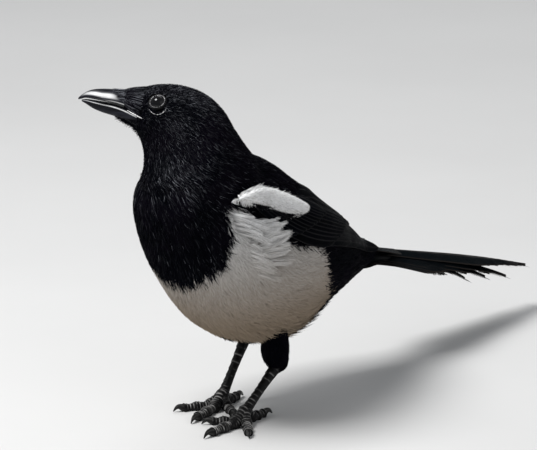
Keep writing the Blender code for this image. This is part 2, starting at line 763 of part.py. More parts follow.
def make_wing(name, side, torso_room, tail_room, black, white):
    """A folded wing and the scapulars that overlap its upper edge."""
    carrier = torso_carrier(side)
    along = np.linspace(0.0, 1.0, 15)
    keys = np.linspace(0.0, 1.0, len(WING_ALONG))
    stations = curve(keys, WING_ALONG, along)
    low, high = curve(keys, WING_LOW, along), curve(keys, WING_HIGH, along)
    base = pad("wing_pad", carrier, stations, low, high, 2.4, -1.5)
    wing = fuse("wing_" + name, [base] + feather_rows(WING_ROWS, carrier))
    scapulars = fuse("scapulars_" + name, scapular_pieces(side))
    scapular_room = fuse("scapular_room", scapular_pieces(side, GAP))
    for room in (scapular_room, tail_room, torso_room):
        carve(wing, room)
    carve(scapulars, torso_room)
    discard(scapular_room)
    finish(wing, "wing_" + name, black)
    finish(scapulars, "scapulars_" + name, white)


# Tail

def tail_carrier(along, across, lift):
    """The tail's roof: along it in millimetres, across it in millimetres, and over it."""
    along, across, lift = np.broadcast_arrays(np.asarray(along, float), across, lift)
    drop = math.radians(TAIL_DROP)
    roof = (3.0 - np.sqrt(across**2 + 9.0)) * math.tan(math.radians(TAIL_ROOF))
    height = lift + roof * smooth(along, -10.0, 60.0)
    x = along * math.cos(drop) + height * math.sin(drop)
    z = -along * math.sin(drop) + height * math.cos(drop)
    return TAIL_ROOT + np.stack((x, across, z), -1)


def rectrix(name, side, length, inner, outer, level, droop):
    """One tail feather between its inner and outer edge: it widens, rounds off and droops at its tip."""
    s = np.array((0.0, 0.2, 0.45, 0.7, 0.88, 1.0))[:, None]
    spread = np.interp(s, (0.0, 0.2, 0.7, 0.88, 1.0), (0.34, 0.52, 1.0, 0.96, 0.74))
    round_off = np.interp(s, (0.0, 0.7, 0.88, 1.0), (1.0, 1.0, 0.74, 0.22))
    middle = (inner + outer) / 2.0 * spread
    half = (outer - inner) / 2.0 * spread * round_off
    columns = np.array((-1.0, -0.35, 1.0)) if inner < 0.0 else np.array((-1.0, 1.0))
    across = side * (middle + half * columns)
    sag = level - droop * (np.clip(s - DROOP_START, 0.0, 1.0) / (1.0 - DROOP_START)) ** 2
    top = tail_carrier(s * length, across, sag)
    under = tail_carrier(s * length, across, sag - TAIL_THICK)
    return plate(name, top, under)


def tail_root(grow=0.0):
    """The core that holds the tail feathers, with the coverts over and under it."""
    s = np.linspace(0.0, 1.0, 7)
    reach = np.interp(s, (0.0, 1.0), (-10.0 - grow, 20.0 + grow))
    half_width = np.interp(s, (0.0, 0.3, 1.0), (9.0, 10.0, 5.0)) + grow
    half_height = np.interp(s, (0.0, 0.4, 1.0), (6.0, 6.0, 2.6)) + grow
    turn = np.arange(14) * 2.0 * math.pi / 14.0
    rings = tail_carrier(
        reach[:, None], half_width[:, None] * np.cos(turn),
        half_height[:, None] * np.sin(turn) - 3.2 + 0.8 * np.cos(turn) ** 2)
    pieces = [tube("tail_core", rings)]
    for k in range(5):
        across = -9.0 + 4.5 * k
        tilt = 0.5 if across < 0.0 else -0.5
        pieces.append(vane(
            "upper_covert", tail_carrier, (-8.0, across * 0.8), (30.0 - abs(across), across * 1.2),
            8.0, (2.0, 1.4), 1.6, tilt, grow=grow))
        pieces.append(vane(
            "under_covert", tail_carrier, (-6.0, across * 0.8), (44.0 - abs(across), across * 1.2),
            9.0, (-7.6, -6.6), 1.4, tilt, grow=grow))
    return pieces


def make_tail(torso_room, black):
    """Twelve graduated tail feathers stacked like a roof."""
    pieces = tail_root()
    for side, level in ((-1.0, 0.0), (1.0, -TAIL_STEP)):
        pieces.append(rectrix(
            "rectrix", side, TAIL_LENGTHS[0], -MIDDLE_OVERLAP, TAIL_SPREAD[0], level, TAIL_DROOPS[0]))
    for k in range(1, len(TAIL_LENGTHS)):
        for side in (-1.0, 1.0):
            length = TAIL_LENGTHS[k] - (RIGHT_SHORTER if side > 0 else 0.0)
            pieces.append(rectrix(
                "rectrix", side, length, RECTRIX_INNER, TAIL_SPREAD[k], -TAIL_STEP * (k + 1), TAIL_DROOPS[k]))
    tail = fuse("tail", pieces)
    carve(tail, torso_room)
    finish(tail, "tail", black)


# Legs

def rod(name, points, radii, sides=10, flats=None):
    """A round limb through points with a radius at each."""
    points = np.asarray(points, float)
    radii = np.asarray(radii, float)
    run = np.gradient(points, axis=0)
    run /= np.linalg.norm(run, axis=1, keepdims=True)
    side = np.cross(run, (0.0, 0.0, 1.0))
    upright = np.linalg.norm(side, axis=1) < 0.05
    side[upright] = (0.0, 1.0, 0.0)
    side /= np.linalg.norm(side, axis=1, keepdims=True)
    rise = np.cross(side, run)
    turn = (np.arange(sides) + 0.5) * 2.0 * math.pi / sides
    rings = (
        points[:, None]
        + side[:, None] * (radii[:, None] * np.cos(turn))[..., None]
        + rise[:, None] * (radii[:, None] * np.sin(turn))[..., None]
    )
    if flats is not None:
        rings[..., 2] = np.maximum(rings[..., 2], flats)
    return tube(name, rings)


def make_thigh(name, torso_room, black):
    """The feathered thigh, from inside the belly's outline down round the heel."""
    top, heel = THIGH_TOP[name], HEEL[name]
    foot = TOE_JOINT[name]
    shin = (foot - heel) / np.linalg.norm(foot - heel)
    end = heel + shin * SHANK_START
    column = top + (heel - top) * 0.55 + np.array((-2.6, 0.0, 0.0))
    keys = (0.0, 0.35, 0.7, 0.88, 1.0)
    points = np.array((top, column, heel + np.array((-4.4, 0.0, 3.0)), heel + shin * 2.6, end))
    radii = (THIGH_RADIUS * 1.15, THIGH_RADIUS, THIGH_RADIUS * 0.97, THIGH_RADIUS * 0.68, TARSUS_RADIUS + 0.9)
    s = np.linspace(0.0, 1.0, 11)
    thigh = rod("thigh", curve(keys, points, s), curve(keys, radii, s), sides=12)
    carve(thigh, torso_room)
    finish(thigh, "thigh_" + name, black)
    return end, shin


def make_tarsus(name, start, shin, scaly):
    """The bare shank with its overlapping scutes, from under the thigh to the toes."""
    first = start + shin * GAP
    last = TOE_JOINT[name] - shin * ANKLE_LENGTH
    stops = [0.0]
    radii = [TARSUS_RADIUS * 1.05]
    for k in range(SCUTES):
        stops.extend(((k + 0.86) / SCUTES, (k + 1.0) / SCUTES))
        radii.extend((TARSUS_RADIUS * 1.12, TARSUS_RADIUS * 0.98))
    radii[-1] = TARSUS_RADIUS * 1.1
    stops = np.array(stops)[:, None]
    points = first + (last - first) * stops
    swell = 1.0 + 0.22 * smooth(stops[:, 0], 0.8, 1.0)
    tarsus = rod("tarsus", points, np.array(radii) * swell, sides=9)
    finish(tarsus, "tarsus_" + name, scaly)
    return last


def toe_points(joint, turn, length, radius):
    """A toe that comes down from the joint and runs along the floor, knuckle by knuckle."""
    direction = np.array((-math.cos(turn), math.sin(turn), 0.0))
    s = np.linspace(0.0, 1.0, 10)
    fall = 1.0 - smooth(s, 0.0, TOE_FALL)
    height = radius * TOE_HEIGHT + (joint[2] - radius * TOE_HEIGHT) * fall
    points = np.array((joint[0], joint[1], 0.0)) + direction * (s * length)[:, None]
    points[:, 2] = height
    knuckles = 1.0 + 0.12 * np.cos(s * KNUCKLES * 2.0 * math.pi)
    radii = radius * (1.08 - 0.3 * s) * knuckles
    return points, radii, direction


def make_foot(name, side, tarsus_end, shin, scaly, horn):
    """Four toes fused at the joint, with a claw at the end of each."""
    joint = TOE_JOINT[name]
    ankle = rod("ankle", (tarsus_end + shin * GAP, joint - shin * 0.5, joint + shin * 1.2),
                (TARSUS_RADIUS * 1.3, TARSUS_RADIUS * 1.55, TARSUS_RADIUS * 1.1), sides=12)
    pieces = [ankle]
    for toe in TOES:
        turn = math.radians(toe.turn - FOOT_TURN[name]) * side
        points, radii, direction = toe_points(joint, turn, toe.length, toe.radius)
        pieces.append(rod("toe", points, radii, sides=8, flats=0.0))
        root = points[-1] + direction * 1.3 * GAP
        s = np.linspace(0.0, 1.0, 6)
        arc = s * CLAW_ARC
        reach = toe.claw / CLAW_ARC * 1.1
        claw_points = root + direction * (np.sin(arc) * reach)[:, None]
        rise = np.sin(s * math.pi) ** 2 * 0.9
        base_radius = radii[-1] * 0.8
        claw_points[:, 2] = root[2] + rise - (root[2] - 0.55) * s**2
        claw_radii = base_radius * (1.0 - 0.82 * s)
        claw = rod("claw", claw_points, claw_radii, sides=6, flats=0.05)
        finish(claw, "claw_" + toe.name + "_" + name, horn)
    foot = fuse("foot_" + name, pieces)
    finish(foot, "foot_" + name, scaly)


def settle(objects):
    """Stand the bird on Z = 0 with the middle of its box on the Z axis."""
    points = []
    for obj in objects:
        points.extend(vertex.co for vertex in obj.data.vertices)
    points = np.array(points)
    low, high = points.min(0), points.max(0)
    shift = Vector((-(low[0] + high[0]) / 2.0, -(low[1] + high[1]) / 2.0, -low[2]))
    for obj in objects:
        for vertex in obj.data.vertices:
            vertex.co += shift


def build():
    """Make every node of the bird."""
    for obj in list(bpy.data.objects):
        bpy.data.objects.remove(obj)
    black = make_material("black_plumage", (0.008, 0.009, 0.014), 0.6)
    wing_black = make_material("glossy_wing", (0.006, 0.012, 0.022), 0.42)
    tail_green = make_material("glossy_tail", (0.006, 0.018, 0.018), 0.4)
    white = make_material("white_plumage", (0.78, 0.77, 0.74), 0.8)
    horn = make_material("bill_horn", (0.012, 0.012, 0.014), 0.3)
    scaly = make_material("leg_scales", (0.014, 0.013, 0.013), 0.5)
    eye_material = make_material("eye", (0.006, 0.004, 0.003), 0.06)

    loft = body_loft("loft")
    share = make_trunk(loft, black, white)
    discard(loft)
    make_head(share, black, horn, eye_material)

    torso_room = body_loft("torso_room", GAP)
    tail_room = fuse("tail_room", tail_root(GAP))
    for name, side in SIDES.items():
        make_wing(name, side, torso_room, tail_room, wing_black, white)
        end, shin = make_thigh(name, torso_room, black)
        tarsus_end = make_tarsus(name, end, shin, scaly)
        make_foot(name, side, tarsus_end, shin, scaly, horn)
    make_tail(torso_room, tail_green)
    discard(torso_room, tail_room)
    settle(list(bpy.data.objects))


build()
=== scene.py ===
"""The looks of the standing Eurasian magpie: skin, plumage, bill, eyes, legs, floor, light and camera.

Shapes are worked out in millimetres in the modelling frame, whose origin is the
ground between the feet, and are moved into the row frame when a mesh is made.
"""

import math
from collections import namedtuple
from functools import partial

import bpy
import numpy as np
from mathutils import Matrix, Vector


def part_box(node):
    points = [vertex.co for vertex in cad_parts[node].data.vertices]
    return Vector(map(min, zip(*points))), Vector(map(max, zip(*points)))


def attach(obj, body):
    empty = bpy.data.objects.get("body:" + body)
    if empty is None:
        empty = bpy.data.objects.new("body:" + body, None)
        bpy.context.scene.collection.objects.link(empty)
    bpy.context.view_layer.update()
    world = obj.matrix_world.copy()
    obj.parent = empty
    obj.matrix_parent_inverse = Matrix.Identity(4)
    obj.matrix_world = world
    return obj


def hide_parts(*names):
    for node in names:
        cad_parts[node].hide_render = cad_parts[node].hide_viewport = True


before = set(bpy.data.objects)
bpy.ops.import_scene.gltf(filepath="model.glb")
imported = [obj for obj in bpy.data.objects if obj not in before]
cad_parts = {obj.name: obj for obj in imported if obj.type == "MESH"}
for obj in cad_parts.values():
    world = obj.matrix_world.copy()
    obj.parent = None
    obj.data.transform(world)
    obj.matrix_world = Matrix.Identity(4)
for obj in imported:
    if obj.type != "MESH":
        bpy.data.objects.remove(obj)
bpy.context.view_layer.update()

MM = 0.001
TAU = 2.0 * math.pi
BLACK = (0.0, 0.0, 0.0)
WHITE = (1.0, 1.0, 1.0)
rng = np.random.default_rng(7)

# Body stations from the tail root to the face: x y z, yaw, pitch, half width, height over and under

STATION_VALUES = np.array((
    (122.0, 0.0, 69.5, 0.0, 20.0, 8.0, 5.0, 7.0),
    (104.0, 0.0, 75.0, 0.0, 25.0, 16.0, 11.5, 17.5),
    (80.0, 0.0, 83.0, 0.0, 31.0, 26.5, 19.0, 39.0),
    (50.0, 0.0, 93.0, 0.0, 35.0, 36.0, 27.5, 60.0),
    (15.0, 0.0, 104.0, 0.0, 39.0, 42.0, 38.5, 62.5),
    (-13.0, 0.0, 119.0, 0.0, 45.0, 42.5, 41.0, 51.5),
    (-31.0, 0.0, 135.0, 4.0, 56.0, 40.0, 37.0, 39.5),
    (-41.0, -1.0, 149.0, 17.0, 65.0, 34.4, 34.6, 33.0),
    (-44.5, -1.5, 160.0, 34.0, 61.0, 28.0, 30.0, 30.0),
    (-46.0, 0.0, 169.0, 45.0, 53.0, 22.5, 27.6, 28.0),
    (-49.0, 4.0, 177.0, 51.0, 42.0, 19.0, 24.7, 25.0),
    (-53.3, 9.7, 182.7, 52.0, 30.0, 16.8, 20.2, 20.2),
    (-57.9, 15.7, 186.8, 52.0, 20.0, 14.2, 14.5, 14.5),
    (-61.2, 19.9, 188.2, 52.0, 14.0, 11.0, 11.1, 11.1),
    (-64.2, 23.7, 189.1, 52.0, 12.0, 8.0, 9.2, 9.2),
    (-65.7, 25.6, 189.7, 52.0, 12.0, 5.4, 6.6, 6.6),
))
LAST_STATION = len(STATION_VALUES) - 1.0
WING_BED = 4.0
COAT_DEPTH = 2.2
COAT_COVER = 11.0
LOCK_BARBS = 80

HEAD_YAW = math.radians(52.0)
HEAD_ORIGIN = np.array((-64.2, 23.7, 189.1))
EYE_ALONG = -15.8
EYE_UP = 5.4
EYE_RADIUS = 5.0
EYE_SUNK = 3.5

TAIL_ROOT = np.array((118.0, 0.0, 71.5))
TAIL_DROP = 14.5
TAIL_LENGTHS = (167.0, 144.0, 121.0, 99.0, 82.0, 66.0)
TAIL_DROOPS = (2.6, 7.6, 7.6, 8.3, 0.8, 0.2)
TAIL_SPREAD = (13.0, 14.0, 16.0, 18.0, 20.0, 21.5)
TAIL_STEP = 0.95
TAIL_ROOF = 12.0
TAIL_SHAFT = 0.1
WING_SHAFT = -0.2

TOE_JOINT = {"left": np.array((-10.0, -15.0, 7.6)), "right": np.array((7.2, 15.0, 7.6))}
HEEL = {"left": np.array((21.5, -15.5, 30.5)), "right": np.array((31.5, 15.0, 41.5))}
THIGH_TOP = {"left": np.array((13.0, -17.0, 66.0)), "right": np.array((24.0, 17.0, 70.0))}
THIGH_RADIUS = 7.4
TARSUS_RADIUS = 2.15
FOOT_TURN = {"left": 0.0, "right": 10.0}
TOE_HEIGHT = 0.85
TOE_FALL = 0.42
TOE_PLATE = 1.75
KNUCKLES = 3.0
CLAW_ARC = math.radians(58.0)
Toe = namedtuple("Toe", "name turn length radius claw")
TOES = (
    Toe("inner", -46.0, 19.0, 2.4, 6.5),
    Toe("middle", 0.0, 30.0, 2.7, 8.5),
    Toe("outer", 42.0, 24.0, 2.4, 6.5),
    Toe("hind", 180.0, 16.0, 2.6, 9.0),
)
SIDES = {"left": -1.0, "right": 1.0}


# Curves and the body's surface

def smooth(value, low, high):
    """Rise from 0 at low to 1 at high as 3s^2 - 2s^3."""
    s = np.clip((np.asarray(value, float) - low) / (high - low), 0.0, 1.0)
    return s * s * (3.0 - 2.0 * s)


def unit(vectors):
    """Vectors divided by their lengths."""
    return vectors / np.maximum(np.linalg.norm(vectors, axis=-1, keepdims=True), 1e-9)


def steps(count):
    """Even steps from 0 to 1, as a column."""
    return np.linspace(0.0, 1.0, count)[:, None]


def turns(count, shift=0.0):
    """Even angles once round, as a row."""
    return (np.arange(count)[None, :] + shift) * TAU / count


def circle(across, rise, turn):
    """Points of the ellipse that two directions span, at the angles turn."""
    turn = np.asarray(turn)[..., None]
    return across * np.cos(turn) + rise * np.sin(turn)


def curve(keys, values, at):
    """A cubic Hermite curve through the values at the keys, its slopes weighed from both neighbours."""
    keys = np.asarray(keys, float)
    values = np.asarray(values, float)
    flat = values.ndim == 1
    if flat:
        values = values[:, None]
    spans = np.diff(keys)[:, None]
    chords = np.diff(values, axis=0) / spans
    slopes = np.empty_like(values)
    slopes[0] = chords[0]
    slopes[-1] = chords[-1]
    slopes[1:-1] = (chords[:-1] * spans[1:] + chords[1:] * spans[:-1]) / (spans[1:] + spans[:-1])
    at = np.clip(np.asarray(at, float), keys[0], keys[-1])
    i = np.clip(np.searchsorted(keys, at, side="right") - 1, 0, len(keys) - 2)
    span = (keys[i + 1] - keys[i])[..., None]
    s = (at - keys[i])[..., None] / span
    result = (
        (2 * s**3 - 3 * s**2 + 1) * values[i]
        + (s**3 - 2 * s**2 + s) * span * slopes[i]
        + (3 * s**2 - 2 * s**3) * values[i + 1]
        + (s**3 - s**2) * span * slopes[i + 1]
    )
    return result[..., 0] if flat else result


def section(t):
    """Centre, up and left directions and half sizes of the section at t."""
    row = curve(np.arange(len(STATION_VALUES)), STATION_VALUES, t)
    yaw = np.radians(row[..., 3])
    pitch = np.radians(row[..., 4])
    zero = np.zeros_like(yaw)
    ahead = np.stack((-np.cos(yaw), np.sin(yaw), zero), -1)
    left = np.stack((-np.sin(yaw), -np.cos(yaw), zero), -1)
    rise = np.array((0.0, 0.0, 1.0))
    up = rise * np.cos(pitch)[..., None] - ahead * np.sin(pitch)[..., None]
    return row[..., :3], up, left, row[..., 5], row[..., 6], row[..., 7]


def elevation(phi):
    """Degrees over the body's side: -90 under the belly, 90 along the back, the same for both sides."""
    return np.degrees(np.arcsin(np.clip(np.sin(phi), -1.0, 1.0)))


def wing_bed(t, phi):
    """Depth of the bed for the folded wings: a product of smooth steps along and round the body."""
    angle = elevation(phi)
    along = smooth(t, 0.2, 1.4) * (1.0 - smooth(t, 5.7, 6.7))
    mantle = smooth(angle, 46.0, 66.0) * smooth(t, 3.2, 5.0)
    return WING_BED * along * smooth(angle, -24.0, 2.0) * (1.0 - mantle)


def skin(t, phi, lift=0.0):
    """The body: each section is two half ellipses round its centre, grown by lift less the wing bed."""
    t, phi, lift = np.broadcast_arrays(np.asarray(t, float), phi, lift)
    centre, up, left, half_width, high, low = section(t)
    grow = lift - wing_bed(t, phi)
    tall = np.where(np.sin(phi) >= 0.0, high, low)
    return (
        centre
        + left * ((half_width + grow) * np.cos(phi))[..., None]
        + up * ((tall + grow) * np.sin(phi))[..., None]
    )


def torso(angle, side):
    """The angle round the section for a left or right hand piece."""
    phi = np.radians(angle)
    return phi if side < 0 else math.pi - phi


HEAD_AXES = np.array((
    (-math.cos(HEAD_YAW), math.sin(HEAD_YAW), 0.0),
    (-math.sin(HEAD_YAW), -math.cos(HEAD_YAW), 0.0),
    (0.0, 0.0, 1.0),
))
AHEAD, LEFT, UP = HEAD_AXES


def head_point(ahead, left, up):
    """A place in the head's own frame, whose origin is the root of the bill."""
    local = np.stack(np.broadcast_arrays(ahead, left, up), -1)
    return HEAD_ORIGIN + local @ HEAD_AXES


def eye_place(side):
    """The centre of an eye, sunk under the head's surface, and the way it looks."""
    t = 11.0 + np.arange(60) * 0.03
    phi = np.radians(np.arange(10.0, 60.0, 1.0))
    if side > 0:
        phi = math.pi - phi
    grid = skin(t[:, None], phi)
    local = (grid - HEAD_ORIGIN) @ HEAD_AXES.T
    miss = np.hypot(local[..., 0] - EYE_ALONG, local[..., 2] - EYE_UP)
    i, j = np.unravel_index(miss.argmin(), miss.shape)
    place = grid[i, j]
    out = np.cross(grid[min(i + 1, len(t) - 1), j] - place, grid[i, min(j + 1, len(phi) - 1)] - place)
    out /= np.linalg.norm(out)
    if out @ (place - section(np.array(t[i]))[0]) < 0.0:
        out = -out
    return place - out * EYE_SUNK, out


EYES = {name: eye_place(side) for name, side in SIDES.items()}
eye_low, eye_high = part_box("eye_left")
SHIFT = np.array((eye_low + eye_high) / 2.0) / MM - EYES["left"][0]


# Meshes

Shape = namedtuple("Shape", "vertices faces values uv")


def join(shapes):
    """One shape out of several, with each of their values carried along."""
    starts = np.cumsum([0] + [len(shape.vertices) for shape in shapes[:-1]])
    return Shape(
        np.concatenate([shape.vertices for shape in shapes]),
        np.concatenate([shape.faces + start for shape, start in zip(shapes, starts)]),
        {key: np.concatenate([shape.values[key] for shape in shapes]) for key in shapes[0].values},
        np.concatenate([shape.uv for shape in shapes]))


def add(name, data):
    """An object in the scene."""
    thing = bpy.data.objects.new(name, data)
    bpy.context.scene.collection.objects.link(thing)
    return thing


def make_piece(name, shape, material, nodes=()):
    """An object from a shape of quads, moved into the row frame and carried by the root body."""
    mesh = bpy.data.meshes.new(name)
    vertices = (shape.vertices + SHIFT) * MM
    mesh.vertices.add(len(vertices))
    mesh.vertices.foreach_set("co", vertices.astype(np.float32).ravel())
    mesh.loops.add(shape.faces.size)
    mesh.loops.foreach_set("vertex_index", shape.faces.astype(np.int32).ravel())
    mesh.polygons.add(len(shape.faces))
    mesh.polygons.foreach_set("loop_start", np.arange(len(shape.faces), dtype=np.int32) * 4)
    mesh.polygons.foreach_set("loop_total", np.full(len(shape.faces), 4, np.int32))
    mesh.update(calc_edges=True)
    for key, numbers in shape.values.items():
        layer = mesh.attributes.new(key, "FLOAT", "POINT")
        layer.data.foreach_set("value", numbers.astype(np.float32))
    layer = mesh.uv_layers.new(name="OFBake")
    layer.data.foreach_set("uv", shape.uv[shape.faces.ravel()].astype(np.float32).ravel())
    mesh.shade_smooth()
    mesh.materials.append(material)
    piece = add(name, mesh)
    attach(piece, "root")
    if nodes:
        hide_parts(*nodes)


def grid_faces(rows, columns, closed):
    """Quads between the rows and columns of a grid of points, closed round its columns or not."""
    i = np.arange(rows - 1)[:, None]
    j = np.arange(columns if closed else columns - 1)[None, :]
    k = (j + 1) % columns
    return np.stack(np.broadcast_arrays(
        i * columns + j, i * columns + k, (i + 1) * columns + k, (i + 1) * columns + j), -1).reshape(-1, 4)


def tube(rings, values):
    """A closed tube: rings of points joined by quads, each end drawn together in its own middle."""
    rings = np.asarray(rings, float)
    count, sides, _ = rings.shape
    first = np.broadcast_to(rings[:1].mean(1, keepdims=True), (1, sides, 3))
    last = np.broadcast_to(rings[-1:].mean(1, keepdims=True), (1, sides, 3))
    points = np.concatenate((first, rings, last))
    faces = grid_faces(count + 2, sides, True)
    edge = np.cross(points[2, 1] - points[1, 1], points[1, 2 % sides] - points[1, 1])
    if edge @ (points[1, 1] - points[1].mean(0)) > 0.0:
        faces = faces[:, ::-1]
    stretched = {}
    for key, numbers in values.items():
        numbers = np.broadcast_to(numbers, (count, sides))
        stretched[key] = np.concatenate((numbers[:1], numbers, numbers[-1:])).ravel()
    return Shape(points.reshape(-1, 3), faces, stretched, even_uv(count + 2, sides))


def even_uv(rows, columns):
    """UV places spread evenly over a grid of points."""
    v, u = np.meshgrid(np.linspace(0.02, 0.98, columns), np.linspace(0.02, 0.98, rows))
    return np.stack((u, v), -1).reshape(-1, 2)


def plate(outer, inner, values):
    """A thin closed plate: two grids of points, joined to each other all round their rim."""
    rows, columns, _ = outer.shape
    top = grid_faces(rows, columns, False)
    under = rows * columns
    rim = np.concatenate((
        np.arange(columns), np.arange(1, rows) * columns + columns - 1,
        (rows - 1) * columns + np.arange(columns - 2, -1, -1), np.arange(rows - 2, 0, -1) * columns))
    after = np.roll(rim, -1)
    wall = np.stack((rim, rim + under, after + under, after), -1)
    faces = np.concatenate((top, (top + under)[:, ::-1], wall))
    both = {key: np.tile(np.broadcast_to(numbers, (rows, columns)).ravel(), 2)
            for key, numbers in values.items()}
    points = np.concatenate((outer.reshape(-1, 3), inner.reshape(-1, 3)))
    return Shape(points, faces, both, np.tile(even_uv(rows, columns), (2, 1)))


def ribbons(place, half, values, uv):
    """Strips of quads along lines of points, reaching half to each side of them."""
    count, rows, _ = place.shape
    points = np.stack((place - half, place + half), 2)
    faces = grid_faces(rows, 2, False)[None] + (np.arange(count) * rows * 2)[:, None, None]
    values = {key: np.broadcast_to(numbers, (count, rows, 2)).ravel() for key, numbers in values.items()}
    return Shape(points.reshape(-1, 3), faces.reshape(-1, 4), values, uv.reshape(-1, 2))


# Sheets that plumage is laid on

Sheet = namedtuple("Sheet", "data low high wrap")


def make_sheet(function, low, high, shape, wrap):
    """A table of a domed or closed surface: at each u and v its place, outward normal and two slopes."""
    u = np.linspace(low[0], high[0], shape[0])
    v = np.linspace(low[1], high[1], shape[1])
    points = function(u[:, None], v[None, :])
    along = np.gradient(points, u, axis=0)
    if wrap:
        padded = np.concatenate((points[:, -2:-1], points, points[:, 1:2]), 1)
        around = (padded[:, 2:] - padded[:, :-2]) / (2.0 * (v[1] - v[0]))
    else:
        around = np.gradient(points, v, axis=1)
    normal = unit(np.cross(around, along))
    i, j = shape[0] // 2, shape[1] // 2
    if normal[i, j] @ (points[i, j] - points[i].mean(0)) < 0.0:
        normal = -normal
    return Sheet(np.concatenate((points, normal, along, around), -1), low, high, wrap)


def look_up(sheet, u, v):
    """Place, normal and slopes of a sheet at u and v, mixed from the four table entries round them."""
    rows, columns, _ = sheet.data.shape
    a = (u - sheet.low[0]) / (sheet.high[0] - sheet.low[0]) * (rows - 1)
    b = (v - sheet.low[1]) / (sheet.high[1] - sheet.low[1])
    b = (b % 1.0 if sheet.wrap else np.clip(b, 0.0, 1.0)) * (columns - 1)
    a = np.clip(a, 0.0, rows - 1.0)
    i = np.minimum(a.astype(int), rows - 2)
    j = np.minimum(b.astype(int), columns - 2)
    a = (a - i)[..., None]
    b = (b - j)[..., None]
    d = sheet.data
    mixed = (d[i, j] * (1 - a) + d[i + 1, j] * a) * (1 - b) + (d[i, j + 1] * (1 - a) + d[i + 1, j + 1] * a) * b
    return mixed[..., :3], unit(mixed[..., 3:6]), mixed[..., 6:9], mixed[..., 9:12]


def scatter(sheet, density):
    """Random roots on a sheet, as many on each small patch as its area times the density there."""
    rows, columns, _ = sheet.data.shape
    u = np.linspace(sheet.low[0], sheet.high[0], rows)
    v = np.linspace(sheet.low[1], sheet.high[1], columns)
    u, v = (u[:-1] + u[1:]) / 2.0, (v[:-1] + v[1:]) / 2.0
    step = ((sheet.high[0] - sheet.low[0]) / (rows - 1), (sheet.high[1] - sheet.low[1]) / (columns - 1))
    cell = sheet.data[:-1, :-1]
    area = np.linalg.norm(np.cross(cell[..., 6:9], cell[..., 9:12]), axis=-1) * step[0] * step[1]
    wanted = area * density(u[:, None], v[None, :])
    weights = wanted.ravel() / wanted.sum()
    chosen = rng.choice(weights.size, int(wanted.sum()), p=weights)
    i, j = np.unravel_index(chosen, wanted.shape)
    jitter = rng.random((2, len(chosen))) - 0.5
    return u[i] + jitter[0] * step[0], v[j] + jitter[1] * step[1]


def draws(count):
    """Two makers of random numbers, one number for each of count barbs: even and bell-shaped."""
    return partial(rng.uniform, size=count), partial(rng.normal, size=count)


def barbs(sheet, u, v, length, width, turn, lifts, roll, bend, mark, tone, rows=4, fan=(0.0, 0.0), pull=0.0,
          towards=-1.0, power=1.0, keep=None):
    """Tapering ribbons laid on a sheet.

    Ribbon point at s: root + fan * (1 - pull * s^1.5) + length * s along the lie, turned by turn
    and bent by bend * s^2, raised from lifts[0] to lifts[1] as s^power.  roll tips it on its run.
    mark is a number for each ribbon, or a function of the u and v of its points.
    """
    s = np.linspace(0.0, 1.0, rows)[None, :]
    _, _, along, around = look_up(sheet, u, v)
    scale_u = np.linalg.norm(along, axis=-1)[:, None]
    scale_v = np.maximum(np.linalg.norm(around, axis=-1), 1.0)[:, None]
    fan_u, fan_v = (np.broadcast_to(f, u.shape)[:, None] for f in fan)
    length, width, turn, roll, bend, low, high = (
        np.broadcast_to(x, u.shape)[:, None] for x in (length, width, turn, roll, bend, *lifts))
    hold = 1.0 - pull * s**1.5
    run = length * s * np.cos(turn) + fan_u * hold
    aside = length * (s * np.sin(turn) + bend * s**2) + fan_v * hold
    pu = u[:, None] + towards * run / scale_u
    pv = v[:, None] + aside / scale_v
    place, normal, _, _ = look_up(sheet, pu, pv)
    place = place + normal * (low + (high - low) * s**power)[..., None]
    mark = mark(pu, pv) if callable(mark) else np.broadcast_to(np.reshape(mark, (-1, 1)), pu.shape)
    if keep is not None:
        kept = keep(place)
        place, normal, width, roll = place[kept], normal[kept], width[kept], roll[kept]
        u, v, mark, tone = u[kept], v[kept], mark[kept], tone[kept]
    forward = unit(np.gradient(place, axis=1))
    side = unit(np.cross(normal, forward))
    side = side * np.cos(roll)[..., None] + normal * np.sin(roll)[..., None]
    taper = np.interp(s, (0.0, 0.35, 0.75, 1.0), (0.7, 1.0, 0.72, 0.1))
    half = side * (width * taper / 2.0)[..., None]
    root = np.stack((
        (u - sheet.low[0]) / (sheet.high[0] - sheet.low[0]),
        (v - sheet.low[1]) / (sheet.high[1] - sheet.low[1]) % 1.0), -1) * 0.96 + 0.02
    patch = np.stack(np.broadcast_arrays(s[0][:, None] * 0.003, np.array((-0.0015, 0.0015))), -1)
    uv = np.clip(root[:, None, None, :] + patch, 0.001, 0.999)
    values = {"mark": mark[..., None], "tone": tone[:, None, None], "run": s[..., None]}
    return ribbons(place, half, values, uv)


# Materials

def new_material(name, specular=0.5):
    """A material and its node tree."""
    material = bpy.data.materials.new(name)
    material.use_nodes = True
    material.node_tree.nodes["Principled BSDF"].inputs["Specular IOR Level"].default_value = specular
    return material, material.node_tree


def plug(tree, socket, value):
    """Join an output to a socket, or set the socket to a plain value."""
    if isinstance(value, bpy.types.NodeSocket):
        tree.links.new(value, socket)
    else:
        socket.default_value = value


def add_node(tree, kind, output, inputs, **settings):
    """One output of a new shader node, once its settings are made and its inputs joined or set."""
    node = tree.nodes.new("ShaderNode" + kind)
    for name, setting in settings.items():
        setattr(node, name, setting)
    for name, value in inputs.items():
        plug(tree, node.inputs[name], value)
    return node.outputs[output]


def value_of(tree, name):
    """A number stored on the mesh."""
    return add_node(tree, "Attribute", "Fac", {}, attribute_name=name)


def place_of(tree):
    """The place on the object, in metres."""
    return add_node(tree, "TexCoord", "Object", {})


